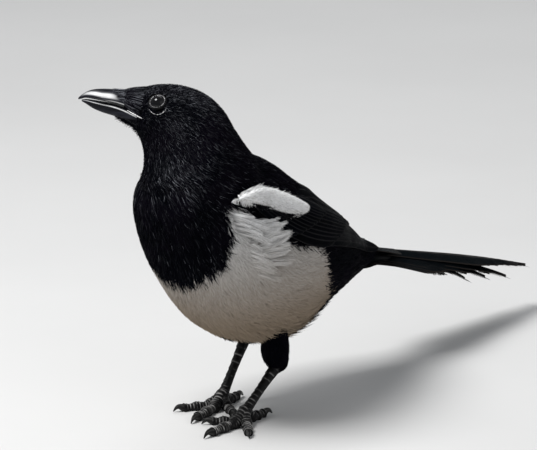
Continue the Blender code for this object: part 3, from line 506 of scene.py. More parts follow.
def noise(tree, scale, detail=3.0, stretch=(1.0, 1.0, 1.0)):
    """Cloudy variation over the object's own coordinates."""
    place = add_node(tree, "Mapping", "Vector", {"Vector": place_of(tree), "Scale": stretch})
    return add_node(tree, "TexNoise", "Fac", {"Vector": place, "Scale": scale, "Detail": detail})


def calc(tree, operation, a, b=0.0):
    """Arithmetic on two numbers."""
    return add_node(tree, "Math", 0, {0: a, 1: b}, operation=operation)


def span(tree, value, low, high, to_low=0.0, to_high=1.0):
    """Carry a number from one range to another, smoothly and held at both ends."""
    ends = {"Value": value, "From Min": low, "From Max": high, "To Min": to_low, "To Max": to_high}
    return add_node(tree, "MapRange", "Result", ends, interpolation_type="SMOOTHSTEP")


def blend(tree, factor, a, b, mode="MIX"):
    """Mix two colours."""
    a, b = (colour if isinstance(colour, bpy.types.NodeSocket) else (*colour, 1.0) for colour in (a, b))
    return add_node(tree, "Mix", 2, {0: factor, 6: a, 7: b}, data_type="RGBA", blend_type=mode)


def finish(tree, colour, roughness, relief=None, strength=0.0, depth=0.0):
    """Give the tree's shader its colour, its roughness and a small relief."""
    inputs = tree.nodes["Principled BSDF"].inputs
    plug(tree, inputs["Base Color"], colour)
    plug(tree, inputs["Roughness"], roughness)
    if relief is not None:
        bump = {"Height": relief, "Strength": strength, "Distance": depth}
        plug(tree, inputs["Normal"], add_node(tree, "Bump", "Normal", bump))


def plumage_material(name):
    """Black and white body feathers: one material that reads the mark of each barb, with painted highlights on
    the black, painted shade towards each barb's root and painted shade low on the body.
    """
    material, tree = new_material(name, 0.004)
    mark = value_of(tree, "mark")
    tone = value_of(tree, "tone")
    run = value_of(tree, "run")
    broad = noise(tree, 55.0, 2.0)
    fine = noise(tree, 700.0, 3.0)
    black = blend(tree, span(tree, broad, 0.35, 0.65), (0.0016, 0.0019, 0.0034), (0.0036, 0.003, 0.0056))
    # painted highlight: black barbs of high tone are painted pale grey, as glints
    black = blend(tree, calc(tree, "POWER", tone, 6.0), black, (0.26, 0.27, 0.3))
    white = blend(tree, tone, (0.17, 0.165, 0.16), (0.94, 0.94, 0.94))
    white = blend(tree, span(tree, fine, 0.3, 0.7, 0.0, 0.35), white, (0.62, 0.6, 0.58))
    # painted shade: the white turns darker and browner low on the body, as a shaded underside lit from the
    # floor
    height = add_node(tree, "SeparateXYZ", "Z", {0: place_of(tree)})
    low = span(tree, height, 0.05, 0.135, 0.94, 0.0)
    white = blend(tree, low, white, (0.25, 0.19, 0.13))
    colour = blend(tree, mark, black, white)
    # painted shade: each barb darker towards its root
    shade = span(tree, run, 0.0, 0.5, 0.55, 1.0)
    colour = blend(tree, 1.0, colour, blend(tree, shade, BLACK, WHITE), "MULTIPLY")
    finish(tree, colour, span(tree, mark, 0.0, 1.0, 0.4, 0.8), fine, 0.25, 0.0003)
    return material


def vane_material(name, specular, first, second, edge, tips, shaft):
    """Glossy flight feathers: two sheens, fine slanting barbs, edges and tips paler from wear, and a painted
    highlight along each shaft.
    """
    material, tree = new_material(name, specular)
    side = calc(tree, "ABSOLUTE", value_of(tree, "mark"))
    middle = calc(tree, "ABSOLUTE", calc(tree, "SUBTRACT", value_of(tree, "mark"), shaft))
    tone = value_of(tree, "tone")
    run = value_of(tree, "run")
    barb = value_of(tree, "barb")
    streak = calc(tree, "SINE", calc(tree, "MULTIPLY", barb, TAU / 0.9))
    cloud = noise(tree, 90.0, 3.0)
    colour = blend(tree, span(tree, cloud, 0.35, 0.65), first, second)
    colour = blend(tree, calc(tree, "MULTIPLY", tone, 0.5), colour, tuple(1.6 * c for c in second))
    colour = blend(tree, span(tree, side, 0.86, 1.0, 0.0, 0.75), colour, edge)
    colour = blend(tree, span(tree, run, 0.78, 1.0, 0.0, tips), colour, edge)
    # painted highlight: a pale line along each shaft, in the colour of the edges that are paler from wear
    colour = blend(tree, span(tree, middle, 0.03, 0.12, 0.55, 0.0), colour, edge)
    rough = calc(tree, "ADD", span(tree, cloud, 0.3, 0.7, 0.3, 0.46), calc(tree, "MULTIPLY", streak, 0.04))
    finish(tree, colour, rough, streak, 0.35, 0.00012)
    return material


def horn_material(name, dark, pale, roughness):
    """Bill and claws: smooth dark horn with faint lengthwise scratches, paler where the edge value says:
    painted highlights on the bill, paler lines on the claws.
    """
    material, tree = new_material(name, 0.1)
    edge = value_of(tree, "edge")
    streaks = noise(tree, 240.0, 4.0, (0.35, 0.35, 2.2))
    edge = calc(tree, "MULTIPLY", edge, span(tree, streaks, 0.3, 0.6, 0.55, 1.0))
    speck = noise(tree, 1500.0, 2.0)
    colour = blend(tree, span(tree, streaks, 0.4, 0.7), dark, tuple(4.0 * c for c in dark))
    # the edge value blends towards the pale colour: painted highlights on the bill, paler lines on the claws
    colour = blend(tree, edge, colour, pale)
    rough = span(tree, streaks, 0.3, 0.75, roughness - 0.06, roughness + 0.16)
    finish(tree, colour, rough, calc(tree, "ADD", streaks, calc(tree, "MULTIPLY", speck, 0.3)), 0.16, 0.0003)
    return material


def scale_material(name):
    """Black leathery scales with painted highlights on their rims and fine grain between them."""
    material, tree = new_material(name, 0.14)
    edge = value_of(tree, "edge")
    grain = noise(tree, 900.0, 3.0)
    cells = add_node(tree, "TexVoronoi", "Distance", {"Vector": place_of(tree), "Scale": 900.0},
                     feature="DISTANCE_TO_EDGE")
    colour = blend(tree, span(tree, grain, 0.35, 0.7), (0.002, 0.002, 0.0025), (0.007, 0.0065, 0.0065))
    # painted highlight on the rims of the plates, broken up by noise
    painted_highlight = calc(tree, "MULTIPLY", edge, span(tree, noise(tree, 260.0, 2.0), 0.35, 0.65))
    colour = blend(tree, painted_highlight, colour, (0.42, 0.41, 0.4))
    relief = calc(tree, "ADD", span(tree, cells, 0.0, 0.25), grain)
    finish(tree, colour, span(tree, grain, 0.3, 0.7, 0.34, 0.6), relief, 0.3, 0.0002)
    return material


def eye_material(name):
    """A dark brown iris round a black pupil under a wet, clear surface."""
    material, tree = new_material(name, 0.34)
    reach = value_of(tree, "edge")
    spokes = noise(tree, 1200.0, 3.0)
    iris = blend(tree, spokes, (0.0005, 0.0005, 0.0012), (0.0016, 0.0014, 0.0022))
    colour = blend(tree, span(tree, reach, 0.5, 0.62), (0.0004, 0.0004, 0.0006), iris)
    colour = blend(tree, span(tree, reach, 0.82, 1.0), colour, (0.001, 0.001, 0.0014))
    finish(tree, colour, span(tree, spokes, 0.3, 0.7, 0.02, 0.05))
    return material


def lid_material(name):
    """Bare grey skin round the eye, and a painted highlight along the corner of the mouth."""
    material, tree = new_material(name, 0.12)
    edge = value_of(tree, "edge")
    grain = noise(tree, 1400.0, 3.0)
    pale = blend(tree, span(tree, grain, 0.35, 0.65), (0.3, 0.3, 0.31), (0.95, 0.94, 0.93))
    colour = blend(tree, edge, (0.002, 0.002, 0.0025), pale)
    finish(tree, colour, span(tree, grain, 0.3, 0.7, 0.35, 0.6), grain, 0.4, 0.0002)
    return material


def floor_material(name):
    """A pale matt studio floor with a trace of cloudiness."""
    material, tree = new_material(name)
    colour = blend(tree, noise(tree, 6.0, 4.0), (0.58, 0.577, 0.57), (0.63, 0.627, 0.62))
    finish(tree, colour, 0.7, noise(tree, 900.0, 2.0), 0.05, 0.0003)
    return material


# Markings, as places on the body: station for each elevation

BIB_EDGE = ((-90.0, 5.06), (-80.0, 5.08), (-70.0, 5.15), (-58.0, 5.18), (-52.0, 5.24), (-43.0, 5.32),
            (-40.0, 5.5), (-33.0, 5.6), (-27.0, 5.76), (-23.5, 6.08), (-20.5, 6.25), (-14.0, 6.35), (0.0, 6.42),
            (20.0, 6.5))
VENT_EDGE = ((-90.0, 3.7), (-75.0, 3.2), (-62.0, 2.55), (-50.0, 2.3), (-40.0, 2.22), (-23.0, 2.68), (-8.5, 3.1),
             (-1.0, 3.5), (20.0, 4.4))
FLANK_TOP = ((2.8, 1.0), (3.5, -1.0), (4.1, -3.5), (4.5, -4.5), (4.9, -1.0), (5.3, -1.0), (5.7, -6.0),
             (6.1, -8.0), (6.4, -14.0))


def body_mark(t, phi, ragged=0.0):
    """1 on the white belly and flanks, 0 on the black: between the bib's edge and the vent's."""
    angle = elevation(phi)
    bib = np.interp(angle, *np.array(BIB_EDGE).T)
    vent = np.interp(angle, *np.array(VENT_EDGE).T)
    wave = 0.05 * np.sin(angle * 0.7 + 1.0) + 0.03 * np.sin(angle * 2.3)
    white = smooth(bib + wave + ragged - t, -0.03, 0.03) * smooth(t - vent - 0.25 * ragged, -0.02, 0.02)
    top = np.interp(t, *np.array(FLANK_TOP).T)
    return white * smooth(top + 1.5 - angle, 0.0, 2.0)


def plume_length(t):
    """Length in millimetres of the visible barbs, least at the face."""
    return curve((0.0, 1.0, 3.0, 5.0, 7.0, 8.5, 10.0, 11.5, 13.0, 15.0),
                 (16.0, 15.0, 13.0, 10.5, 8.5, 6.6, 4.6, 3.2, 2.2, 1.5), t)


def plume_width(t):
    """Width in millimetres of one barb."""
    return curve((0.0, 3.0, 5.0, 7.0, 9.0, 11.0, 13.0, 15.0), (0.85, 0.75, 0.6, 0.5, 0.44, 0.36, 0.3, 0.25), t)


def hollow(t, phi):
    """How deep the lower face and the throat's foot lie back, less a bell over the rear of the belly."""
    angle = elevation(phi)
    face = smooth(t, 12.2, 13.4) * (1.0 - smooth(angle, -4.0, 18.0)) * smooth(angle, -80.0, -52.0)
    throat = np.exp(-((t - 7.45) / 0.5) ** 2) * (1.0 - smooth(angle, -40.0, -10.0))
    rump = np.exp(-((t - 2.75) / 0.6) ** 2 - ((angle + 57.0) / 18.0) ** 2)
    return 3.4 * face + 2.2 * throat - 4.4 * rump


def head_sheen(t, angle):
    """Where light catches the black feathers: behind the eye, down the fore neck and over the crown."""
    behind_eye = 0.75 * np.exp(-((t - 10.4) / 0.9) ** 2 - ((angle - 14.0) / 17.0) ** 2)
    fore_neck = 0.9 * np.exp(-((t - 8.6) / 1.1) ** 2 - ((angle + 30.0) / 24.0) ** 2)
    crown = 0.85 * smooth(t, 8.8, 10.4) * smooth(angle, 34.0, 60.0)
    return np.clip(0.22 * smooth(t, 6.2, 8.5) + behind_eye + fore_neck + crown, 0.0, 1.0)


def clear_of_eyes(place):
    """Ribbons that keep out of both lids' outlines, seen along the way the eye looks."""
    kept = np.ones(place.shape[0], bool)
    for centre, out in EYES.values():
        away = place - centre
        depth = away @ out
        flat = away - depth[..., None] * out
        reach = np.hypot(flat @ AHEAD / 4.85, flat @ UP / 4.0)
        kept &= ~((reach < 1.0) & (depth > 0.0)).any(1)
    return kept


def body_sheet():
    """The body's surface as a sheet of station and angle."""
    return make_sheet(lambda u, v: skin(u, v, -hollow(u, v)), (0.0, 0.0), (LAST_STATION, TAU), (601, 361), True)


# The coat's pieces: stations from and to, and elevations from and to
COAT_SHARES = (
    ("face", 11.4, 99.0, -99.0, 99.0), ("head", 9.2, 11.4, -99.0, 99.0), ("neck", 7.3, 9.2, -99.0, 99.0),
    ("breast", 5.2, 7.3, -99.0, 99.0), ("belly", 2.6, 5.2, -99.0, 20.0), ("back", 2.6, 5.2, 20.0, 99.0),
    ("vent", -9.0, 2.6, -99.0, 99.0),
)


def lay_coat(sheet):
    """The coat of head, neck, breast, back, belly and vent, parted into pieces."""
    def density(t, phi):
        angle = elevation(phi)
        top = np.interp(t, WING_ALONG[::-1], WING_HIGH[::-1])
        under_wing = smooth(angle, 2.0, 6.0) * (1.0 - smooth(angle, top - 10.0, top - 4.0))
        under_wing = under_wing * smooth(t, 1.0, 1.6) * (1.0 - smooth(t, 5.3, 6.0))
        bare = smooth(hollow(t, phi), 2.2, 3.0) * (t > 11.0)
        return COAT_COVER / (plume_length(t) * plume_width(t)) * (1.0 - 0.95 * under_wing) * (1.0 - 0.97 * bare)

    t, phi = scatter(sheet, density)
    even, bell = draws(len(t))
    angle = elevation(phi)
    hand = np.sign(np.cos(phi))
    length = plume_length(t) * even(0.75, 1.2)
    width = plume_width(t) * even(0.7, 1.2)
    ragged = bell(0.0, 0.03)
    turn = bell(0.0, 0.14) + hand * 0.1 * np.sin(t * 4.0 + phi * 3.0)
    sheen = head_sheen(t, angle)
    # painted highlight: a share of the black barbs, more where head_sheen is high, gets a high tone and is made
    # thinner, so the material paints it as a pale glint
    painted_glint = rng.random(len(t)) < 0.02 + 0.2 * sheen
    tone = np.where(painted_glint, even(0.64, 0.98), rng.beta(1.3, 2.4, len(t)) * 0.75 + 0.2 * sheen)
    width = width * np.where(painted_glint, 0.45, 1.0)
    slope = np.linalg.norm(look_up(sheet, t, phi)[2], axis=-1)
    pale = np.round(body_mark(t - 0.85 * length / slope, phi, ragged))
    # fewer and fainter painted highlights towards the vent and the tail
    tone = tone * (0.25 + 0.75 * smooth(t, 3.2, 5.0))
    # painted shade: the white coat is darker under and round the flank locks
    flank = np.exp(-((t - 5.0) / 0.7) ** 2 - ((angle + 12.0) / 15.0) ** 2)
    tone = np.where(pale > 0.5, even(0.34, 0.84) * (1.0 - 0.6 * flank), tone)
    roll = bell(0.0, 1.0) * (0.5 - 0.25 * pale)
    high = even(-0.1, 0.7) * smooth(17.0 - t, 0.0, 6.0) * (1.0 - 0.4 * pale)
    hem = smooth(angle, -48.0, -66.0) * smooth(t, 1.6, 2.6) * (1.0 - smooth(t, 3.4, 4.3))
    high = high + hem * even(1.5, 4.2)
    high = high + 1.8 * np.exp(-((t - 4.1) / 0.4) ** 2) * smooth(angle, 35.0, 60.0)
    bend = bell(0.0, 0.12)
    clump = np.sin(t * 31.0 + phi * 9.0) * (0.6 - 0.35 * pale)
    low = -COAT_DEPTH * 0.8 * np.where(t > 12.0, 0.5, 1.0)
    shares = {"coat_" + name: (t >= low_t) & (t < high_t) & (angle >= least) & (angle < most)
              for name, low_t, high_t, least, most in COAT_SHARES}
    made = {}
    for name, share in shares.items():
        made[name] = barbs(
            sheet, t[share], phi[share], length[share], width[share], turn[share], (low[share], high[share]),
            roll[share], bend[share], pale[share], tone[share], rows=5,
            fan=(0.0, clump[share]), pull=0.6, power=0.8, keep=clear_of_eyes if name == "coat_face" else None)
    return made


# Locks of the ruffled flank: stations and angles of roots and tips, how many, and how far they stand out, which
# also sets how much painted shade the lower locks get
FLANK_LOCKS = (
    ((6.3, -15.0), (6.1, -24.0), (5.85, -8.0), (5.6, -12.0), 10, 0.8),
    ((6.2, -18.0), (5.85, -27.0), (5.6, -5.5), (5.2, -9.0), 12, 1.0),
    ((5.85, -16.0), (5.45, -24.0), (5.3, 7.0), (5.0, 3.0), 14, 1.0),
    ((5.6, -16.0), (5.1, -26.0), (5.0, 9.5), (4.65, 1.0), 15, 1.0),
    ((5.25, -17.0), (4.8, -27.0), (4.7, -1.0), (4.35, -8.0), 13, 0.7),
    ((5.6, -27.0), (4.9, -36.0), (4.95, -14.0), (4.2, -20.0), 10, 0.3),
)


def lay_flank(sheet, side):
    """Ruffled white flank feathers that part into locks over the front of the folded wing, with painted shade
    on the lower locks and painted light and shade across each strand.
    """
    starts, ends, heights, tones = [], [], [], []
    for first, last, tip_first, tip_last, count, height in FLANK_LOCKS:
        a = rng.random((2, count, 1))
        a[0, :, 0] = (np.arange(count) + 0.5 + rng.uniform(-0.3, 0.3, count)) / count
        upper = np.arange(count) % 2
        first, last, tip_first, tip_last = (np.array(p) for p in (first, last, tip_first, tip_last))
        corner = np.array((first[0], last[1]))
        starts.append(first + (last - first) * a[0] + (corner - first) * 0.35 * (a[1] - 0.5))
        ends.append(tip_first + (tip_last - tip_first) * a[0] + rng.normal(0.0, (0.06, 0.9), (count, 2)))
        heights.append(height * (rng.uniform(4.0, 5.8, count) + 2.2 * upper))
        # painted shade: locks that stand lower get a darker tone, the raised ones stay bright
        tones.append(0.92 - (0.9 - 0.8 * upper) * rng.uniform(0.6, 1.0, count) * height)
    starts, ends = np.concatenate(starts), np.concatenate(ends)
    each, hand = LOCK_BARBS, -side
    t, angle = (np.repeat(x, each) for x in starts.T)
    phi = torso(angle, side)
    _, _, along, around = look_up(sheet, t, phi)
    back = (starts[:, 0] - ends[:, 0]).repeat(each) * np.linalg.norm(along, axis=-1)
    rise = np.radians(ends[:, 1] - starts[:, 1]).repeat(each) * np.linalg.norm(around, axis=-1)
    even, bell = draws(t.size)
    turn = hand * (np.arctan2(rise, back) + 0.12 + bell(0.0, 0.03))
    length = np.hypot(back, rise) * even(0.75, 1.08)
    fan = (bell(-0.3, 0.5), bell(0.0, 0.55))
    bend = hand * np.repeat(rng.normal(-0.27, 0.06, len(starts)), each)
    top = np.repeat(np.concatenate(heights), each) * even(0.8, 1.0)
    # painted light and shade: each strand lighter along one side and darker along the other
    tone = np.repeat(np.concatenate(tones), each) + 0.34 * hand * fan[1] + bell(0.0, 0.07)
    tone = np.clip(tone, 0.0, 1.0)
    return barbs(sheet, t, phi, length, even(0.28, 0.5), turn, (-1.9, top),
                 bell(0.0, 0.5), bend, 1.0, tone, rows=7, fan=fan, pull=0.85, power=0.8)


# Skin

def thigh_path(name):
    """Middle line and radii of a feathered thigh, and where the bare shank starts."""
    top, heel, foot = THIGH_TOP[name], HEEL[name], TOE_JOINT[name]
    shin = unit(foot - heel)
    column = top + (heel - top) * 0.55 + np.array((-2.6, 0.0, 0.0))
    points = np.array((top, column, heel + np.array((-4.4, 0.0, 3.0)), heel + shin * 2.6, heel + shin * 7.0))
    radii = (*(THIGH_RADIUS * share for share in (0.7, 0.97, 0.97, 0.68)), TARSUS_RADIUS + 0.9)
    return (0.0, 0.35, 0.7, 0.88, 1.0), points, radii, shin


def limb(keys, points, radii, u, v, grow=0.0):
    """A round limb: a circle of angle v about its middle line at u, square to the line."""
    u, v = np.broadcast_arrays(np.asarray(u, float), v)
    run = unit(curve(keys, points, u + 0.01) - curve(keys, points, u - 0.01))
    side = unit(np.cross(run, (0.0, 1.0, 0.0)))
    radius = (curve(keys, radii, u) + grow)[..., None]
    return curve(keys, points, u) + radius * circle(side, np.cross(side, run), v)


def make_skin(material):
    """One skin under the coat: the body's loft with both thighs let into it."""
    t, phi = steps(181) * LAST_STATION, turns(96)
    depth = -COAT_DEPTH * (1.0 - 0.6 * smooth(t, 11.0, 13.5))
    mark = body_mark(t - 0.1, phi)
    shapes = [tube(skin(t, phi, depth - hollow(t, phi)), {"mark": mark, "tone": 0.15, "run": 0.35})]
    for name in SIDES:
        keys, points, radii, _ = thigh_path(name)
        rings = limb(keys, points, radii, steps(40), turns(32), -1.0)
        shapes.append(tube(rings, {"mark": 0.0, "tone": 0.1, "run": 0.35}))
    make_piece("body_skin", join(shapes), material,
               ("head", "neck", "breast", "back", "belly", "vent", "thigh_left", "thigh_right"))


HEM = {"left": 50.0, "right": 52.0}


def lay_thigh(name, material):
    """Short black feathers down a thigh, ending in a fringe round the heel."""
    keys, points, radii, _ = thigh_path(name)
    sheet = make_sheet(lambda u, v: limb(keys, points, radii, u, v), (0.0, 0.0), (1.0, TAU), (80, 73), True)
    u, v = scatter(sheet, lambda a, b: 4.5)
    even, bell = draws(len(u))
    length = np.interp(u, (0.0, 0.7, 1.0), (8.0, 6.5, 3.2)) * even(0.8, 1.2)
    ragged = bell(0.0, 1.1)[:, None]

    def white(a, b):
        """The belly's white hangs over the top of the thigh, down to a ragged hem."""
        return smooth(look_up(sheet, a, b)[0][..., 2] + ragged, HEM[name], HEM[name] + 1.0)

    shape = barbs(sheet, u, v, length, even(0.35, 0.6), bell(0.0, 0.15),
                  (-0.8, even(-0.2, 0.8)), bell(0.0, 0.45),
                  bell(0.0, 0.1), white, rng.beta(1.2, 3.0, len(u)) * 0.7, rows=5, towards=1.0)
    make_piece("coat_thigh_" + name, shape, material)


# Wings and scapulars

WING_ALONG = (6.3, 5.7, 5.0, 4.4, 4.1, 3.6, 3.0, 2.3, 1.6, 1.0, 0.5)
WING_LOW = (1.0, 0.0, -1.0, -1.0, 0.0, 2.0, 8.0, 14.0, 17.0, 19.0, 21.0)
WING_HIGH = (8.0, 14.0, 20.0, 30.0, 42.0, 66.0, 80.0, 80.0, 66.0, 46.0, 30.0)
Row = namedtuple("Row", "count root_first root_last tip_first tip_last width lifts tilt")
WING_ROWS = (
    Row(8, (4.2, 4.0), (4.2, 14.0), (2.5, 15.0), (0.32, 26.0), (7.5, 6.5), (2.0, 2.6), 0.9),
    Row(9, (4.9, 5.0), (4.6, 36.0), (3.3, 9.0), (2.5, 48.0), (9.5, 9.5), (2.6, 3.6), 1.2),
    Row(4, (4.5, 38.0), (4.2, 64.0), (2.3, 52.0), (2.5, 72.0), (12.0, 11.0), (2.6, 3.2), 0.8),
    Row(10, (5.8, 5.0), (4.9, 32.0), (4.5, 4.0), (3.7, 36.0), (7.5, 8.0), (3.2, 4.5), 1.0),
    Row(8, (6.3, 6.0), (5.5, 21.0), (5.3, 5.0), (4.6, 23.0), (6.5, 6.5), (3.2, 5.0), 0.9),
    Row(8, (6.5, 5.0), (6.0, 18.0), (5.8, 5.0), (5.3, 19.0), (5.0, 5.0), (3.4, 5.0), 0.7),
)


def vane(carrier, root, tip, width, lifts, tilt, camber=0.5):
    """One feather laid on a carrier: a straight run from root to tip with width * outline(s) across.

    The vane is raised by camber * (1 - x^2) over its edges, with a ridge along its shaft, tilted so
    that its lower edge lies on top of the feather below it.
    """
    s = steps(30) ** 0.8
    x = np.linspace(-1.0, 1.0, 9)[None, :]
    outline = np.interp(s, (0.0, 0.12, 0.5, 0.8), (0.55, 0.85, 1.0, 0.98))
    outline = outline * np.sqrt(np.clip(1.0 - np.clip((s - 0.72) / 0.285, 0.0, 1.0) ** 2.4, 0.004, 1.0))
    along = root[0] + (tip[0] - root[0]) * s
    angle = root[1] + (tip[1] - root[1]) * s
    step = 0.01
    middle = carrier(along, angle, 0.0)
    run = unit(carrier(along + (tip[0] - root[0]) * step, angle + (tip[1] - root[1]) * step, 0.0) - middle)
    by_angle = carrier(along, angle + 1.0, 0.0) - middle
    by_along = carrier(along + step, angle, 0.0) - middle
    normal = unit(np.cross(by_angle, by_along))
    sideways = np.cross(normal, run)
    sideways = sideways * np.sign((sideways * by_angle).sum(-1, keepdims=True))
    aa, bb = (by_angle**2).sum(-1), (by_along**2).sum(-1)
    ab = (by_angle * by_along).sum(-1)
    pa, pb = (sideways * by_angle).sum(-1), (sideways * by_along).sum(-1)
    scale = aa * bb - ab * ab
    edges = 1.0 - 0.05 * rng.random((len(s), 2)) * (0.3 + 0.7 * s)
    half = width / 2.0 * outline * np.where(x < 0.0, edges[:, :1], edges[:, 1:])
    reach = half * x
    t = along + reach * (pb * aa - pa * ab) / scale * step
    a = angle + reach * (pa * bb - pb * ab) / scale
    top = lifts[0] + (lifts[1] - lifts[0]) * s - tilt / 2.0 * x + camber * (1.0 - x**2)
    top = top - 3.0 * (1.0 - smooth(s, 0.0, 0.3))
    top = top + 0.22 * np.exp(-((x - WING_SHAFT) / 0.1) ** 2) * (1.0 - 0.6 * s)
    outer = carrier(t, a, top)
    inner = carrier(t, a, top - 0.35)
    length = np.linalg.norm(middle[-1, 0] - middle[0, 0])
    values = {
        "mark": x, "tone": rng.random(), "run": s,
        "barb": s * length - np.abs(x - WING_SHAFT) * half * 1.1,
    }
    return plate(outer, inner, values)


def make_wing(name, side, material):
    """A folded wing: a dark core with six rows of overlapping feathers on it."""
    def carrier(along, angle, lift):
        return skin(along, torso(angle, side), lift)

    keys = np.linspace(0.0, 1.0, len(WING_ALONG))
    u, v = steps(60), steps(15).T
    low, high = curve(keys, WING_LOW, u), curve(keys, WING_HIGH, u)
    dome = np.sqrt(np.clip(1.0 - (2.0 * v - 1.0) ** 4, 0.0, 1.0))
    dome = dome * np.clip(1.0 - (2.0 * u - 1.0) ** 6, 0.0, 1.0)
    along = curve(keys, WING_ALONG, u)
    angle = low + (high - low) * v
    outer = carrier(along, angle, 2.2 * (0.25 + 0.75 * dome))
    inner = carrier(along, angle, np.full_like(dome, -1.5))
    shapes = [plate(outer, inner, {"mark": 0.0, "tone": 0.0, "run": 0.2, "barb": along * 20.0})]
    for row in WING_ROWS:
        for s in np.linspace(0.0, 1.0, row.count):
            root, tip, width = (np.array(a) + (np.array(b) - a) * s for a, b in (
                (row.root_first, row.root_last), (row.tip_first, row.tip_last), row.width))
            tip = tip + (rng.normal(0.0, 0.03), rng.normal(0.0, 0.3))
            shapes.append(vane(carrier, root, tip, width, row.lifts, row.tilt))
    make_piece("wing_feathers_" + name, join(shapes), material, ("wing_" + name,))


PATCH_ALONG = (6.7, 6.45, 6.05, 5.6, 5.1, 4.65, 4.3)
PATCH_LOW = (-7.0, -1.5, 4.0, 9.0, 13.0, 18.5, 27.0)
PATCH_HIGH = (0.5, 13.5, 22.0, 27.5, 30.5, 31.5, 31.0)


def make_scapulars(name, side, material):
    """The white shoulder patch: a low cushion of soft barbs with hair-like fringes."""
    keys = np.linspace(0.0, 1.0, len(PATCH_ALONG))

    def cushion(u, v):
        low, high = curve(keys, PATCH_LOW, u), curve(keys, PATCH_HIGH, u)
        dome = np.sqrt(np.clip(1.0 - np.abs(2.0 * v - 1.0) ** 3, 0.0, 1.0))
        dome = dome * np.sqrt(np.clip(1.0 - np.abs(2.0 * u - 1.0) ** 5, 0.0, 1.0))
        along = curve(keys, PATCH_ALONG, u) - 2.45 * np.maximum(u - 1.0, 0.0) + 0.0 * v
        return skin(along, torso(low + (high - low) * v, side), 4.2 + 2.6 * dome)

    sheet = make_sheet(cushion, (0.0, -0.4), (1.25, 1.4), (151, 109), False)
    u, v = scatter(sheet, lambda a, b: 10.0 * (a < 0.9) * (b > 0.03) * (b < 0.97))
    even, bell = draws(len(u))
    length = even(5.0, 9.0) * (1.0 - 0.35 * smooth(u, 0.7, 0.95))
    turn = bell(-0.08, 0.2 + 0.3 * (u < 0.2))
    turn = turn + 0.2 * smooth(v, 0.7, 1.0) * (u < 0.5) - 0.12 * smooth(v, 0.3, 0.0)
    # painted shade: the patch darker along its lower edge and towards its rear
    tone = bell(1.1, 0.26) - 0.5 * smooth(v, 0.35, 0.05) - 0.2 * smooth(u, 0.75, 1.0)
    fringe = barbs(sheet, u, v, length, even(0.35, 0.7), turn,
                   (-1.5, even(-0.4, 0.9)), bell(0.0, 0.45),
                   bell(0.0, 0.14), 1.0, np.clip(tone, 0.0, 1.0), towards=1.0)
    u, v = np.broadcast_arrays(0.06 + 0.84 * steps(50), 0.13 + 0.75 * steps(24).T)
    normal = look_up(sheet, u, v)[1]
    outer = cushion(u, v) - normal * 1.8
    core = plate(outer, outer - normal * 2.0, {"mark": 1.0, "tone": 0.7, "run": 0.5})
    make_piece("scapular_feathers_" + name, join([core, fringe]), material,
               ("scapulars_" + name,))


# Tail

def tail_carrier(along, across, lift):
    """The tail's roof: a shallow ridge that falls with the root of across^2 + 9, dropped by its angle."""
    along, across, lift = np.broadcast_arrays(np.asarray(along, float), across, lift)
    drop = math.radians(TAIL_DROP)
    roof = -(np.sqrt(across**2 + 9.0) - 3.0) * math.tan(math.radians(TAIL_ROOF))
    height = lift + roof * smooth(along, -10.0, 60.0)
    x = along * math.cos(drop) + height * math.sin(drop)
    z = -along * math.sin(drop) + height * math.cos(drop)
    return TAIL_ROOT + np.stack((x, across, z), -1)


DROOP_START = 0.45
TAIL_LIFT = 1.6
FRAYED_BARBS = 260


def hang(s):
    """How far a tail feather's tip has dropped at s: nothing at first and then as a square."""
    return (np.clip(s - DROOP_START, 0.0, 1.0) / (1.0 - DROOP_START)) ** 2


def rectrix(side, length, inner, outer, level, droop):
    """One tail feather: a web that widens and rounds off, its edges notched by wear near the tip."""
    s = steps(70)
    x = np.linspace(-1.0, 1.0, 11)[None, :]
    spread = np.interp(s, (0.0, 0.2, 0.7, 0.88, 1.0), (0.34, 0.52, 1.0, 0.96, 0.74))
    round_off = np.interp(s, (0.0, 0.62, 0.8, 0.92, 1.0), (1.0, 1.0, 0.72, 0.42, 0.06))
    notch = 1.0 - smooth(s, 0.5, 0.95) * 0.6 * rng.random((len(s), 2)) - 0.03 * rng.random((len(s), 2))
    middle = (inner + outer) / 2.0 * spread
    widest = (outer - inner) / 2.0 * spread * round_off
    half = widest * np.where(x < 0.0, notch[:, :1], notch[:, 1:])
    across = side * (middle + half * x)
    ridge = 0.25 * np.exp(-((x - TAIL_SHAFT) / 0.09) ** 2)
    curl = (2.6 if length > 110.0 else 1.9) * smooth(x, 0.0, 1.1) * (1.0 - 0.6 * smooth(s, 0.55, 0.9))
    sag = level + TAIL_LIFT - droop * hang(s) + ridge + 0.25 * (1.0 - x**2) - curl
    values = {"mark": x, "tone": rng.random() * 0.6, "run": s,
              "barb": s * length - np.abs(x - TAIL_SHAFT) * half * 1.3}
    web = plate(tail_carrier(s * length, across, sag), tail_carrier(s * length, across, sag - 0.4), values)

    count = FRAYED_BARBS
    at = 0.97 - 0.45 * rng.random(count) ** 1.2
    hand = rng.choice((-1.0, 1.0), count)[:, None]
    width = np.interp(at, s[:, 0], widest[:, 0])[:, None]
    base = np.interp(at, s[:, 0], middle[:, 0])[:, None]
    late = smooth(at, 0.8, 0.95)[:, None]
    at = at[:, None]
    reach = steps(4).T * rng.uniform(6.0, 11.0, count)[:, None]
    run = np.minimum(at * length + reach * 0.93, length * (0.97 + 0.03 * rng.random((count, 1))))
    out = side * (base + hand * (width * 0.4 + reach * 0.3))
    low = level + TAIL_LIFT - 0.9 - 0.12 * reach * (1.0 - late)
    place = tail_carrier(run, out, low - droop * hang(run / length))
    half = np.array((0.15, 1.0, 0.0)) * side * 0.28 * np.array((0.8, 1.0, 0.6, 0.1))[:, None]
    values = {"mark": 0.85, "tone": rng.random(count)[:, None, None],
              "run": (at + steps(4).T * 0.1)[..., None].clip(0.0, 1.0), "barb": 0.0}
    return join([web, ribbons(place, half, values, 0.5 + rng.random((count * 8, 2)) * 0.003)])


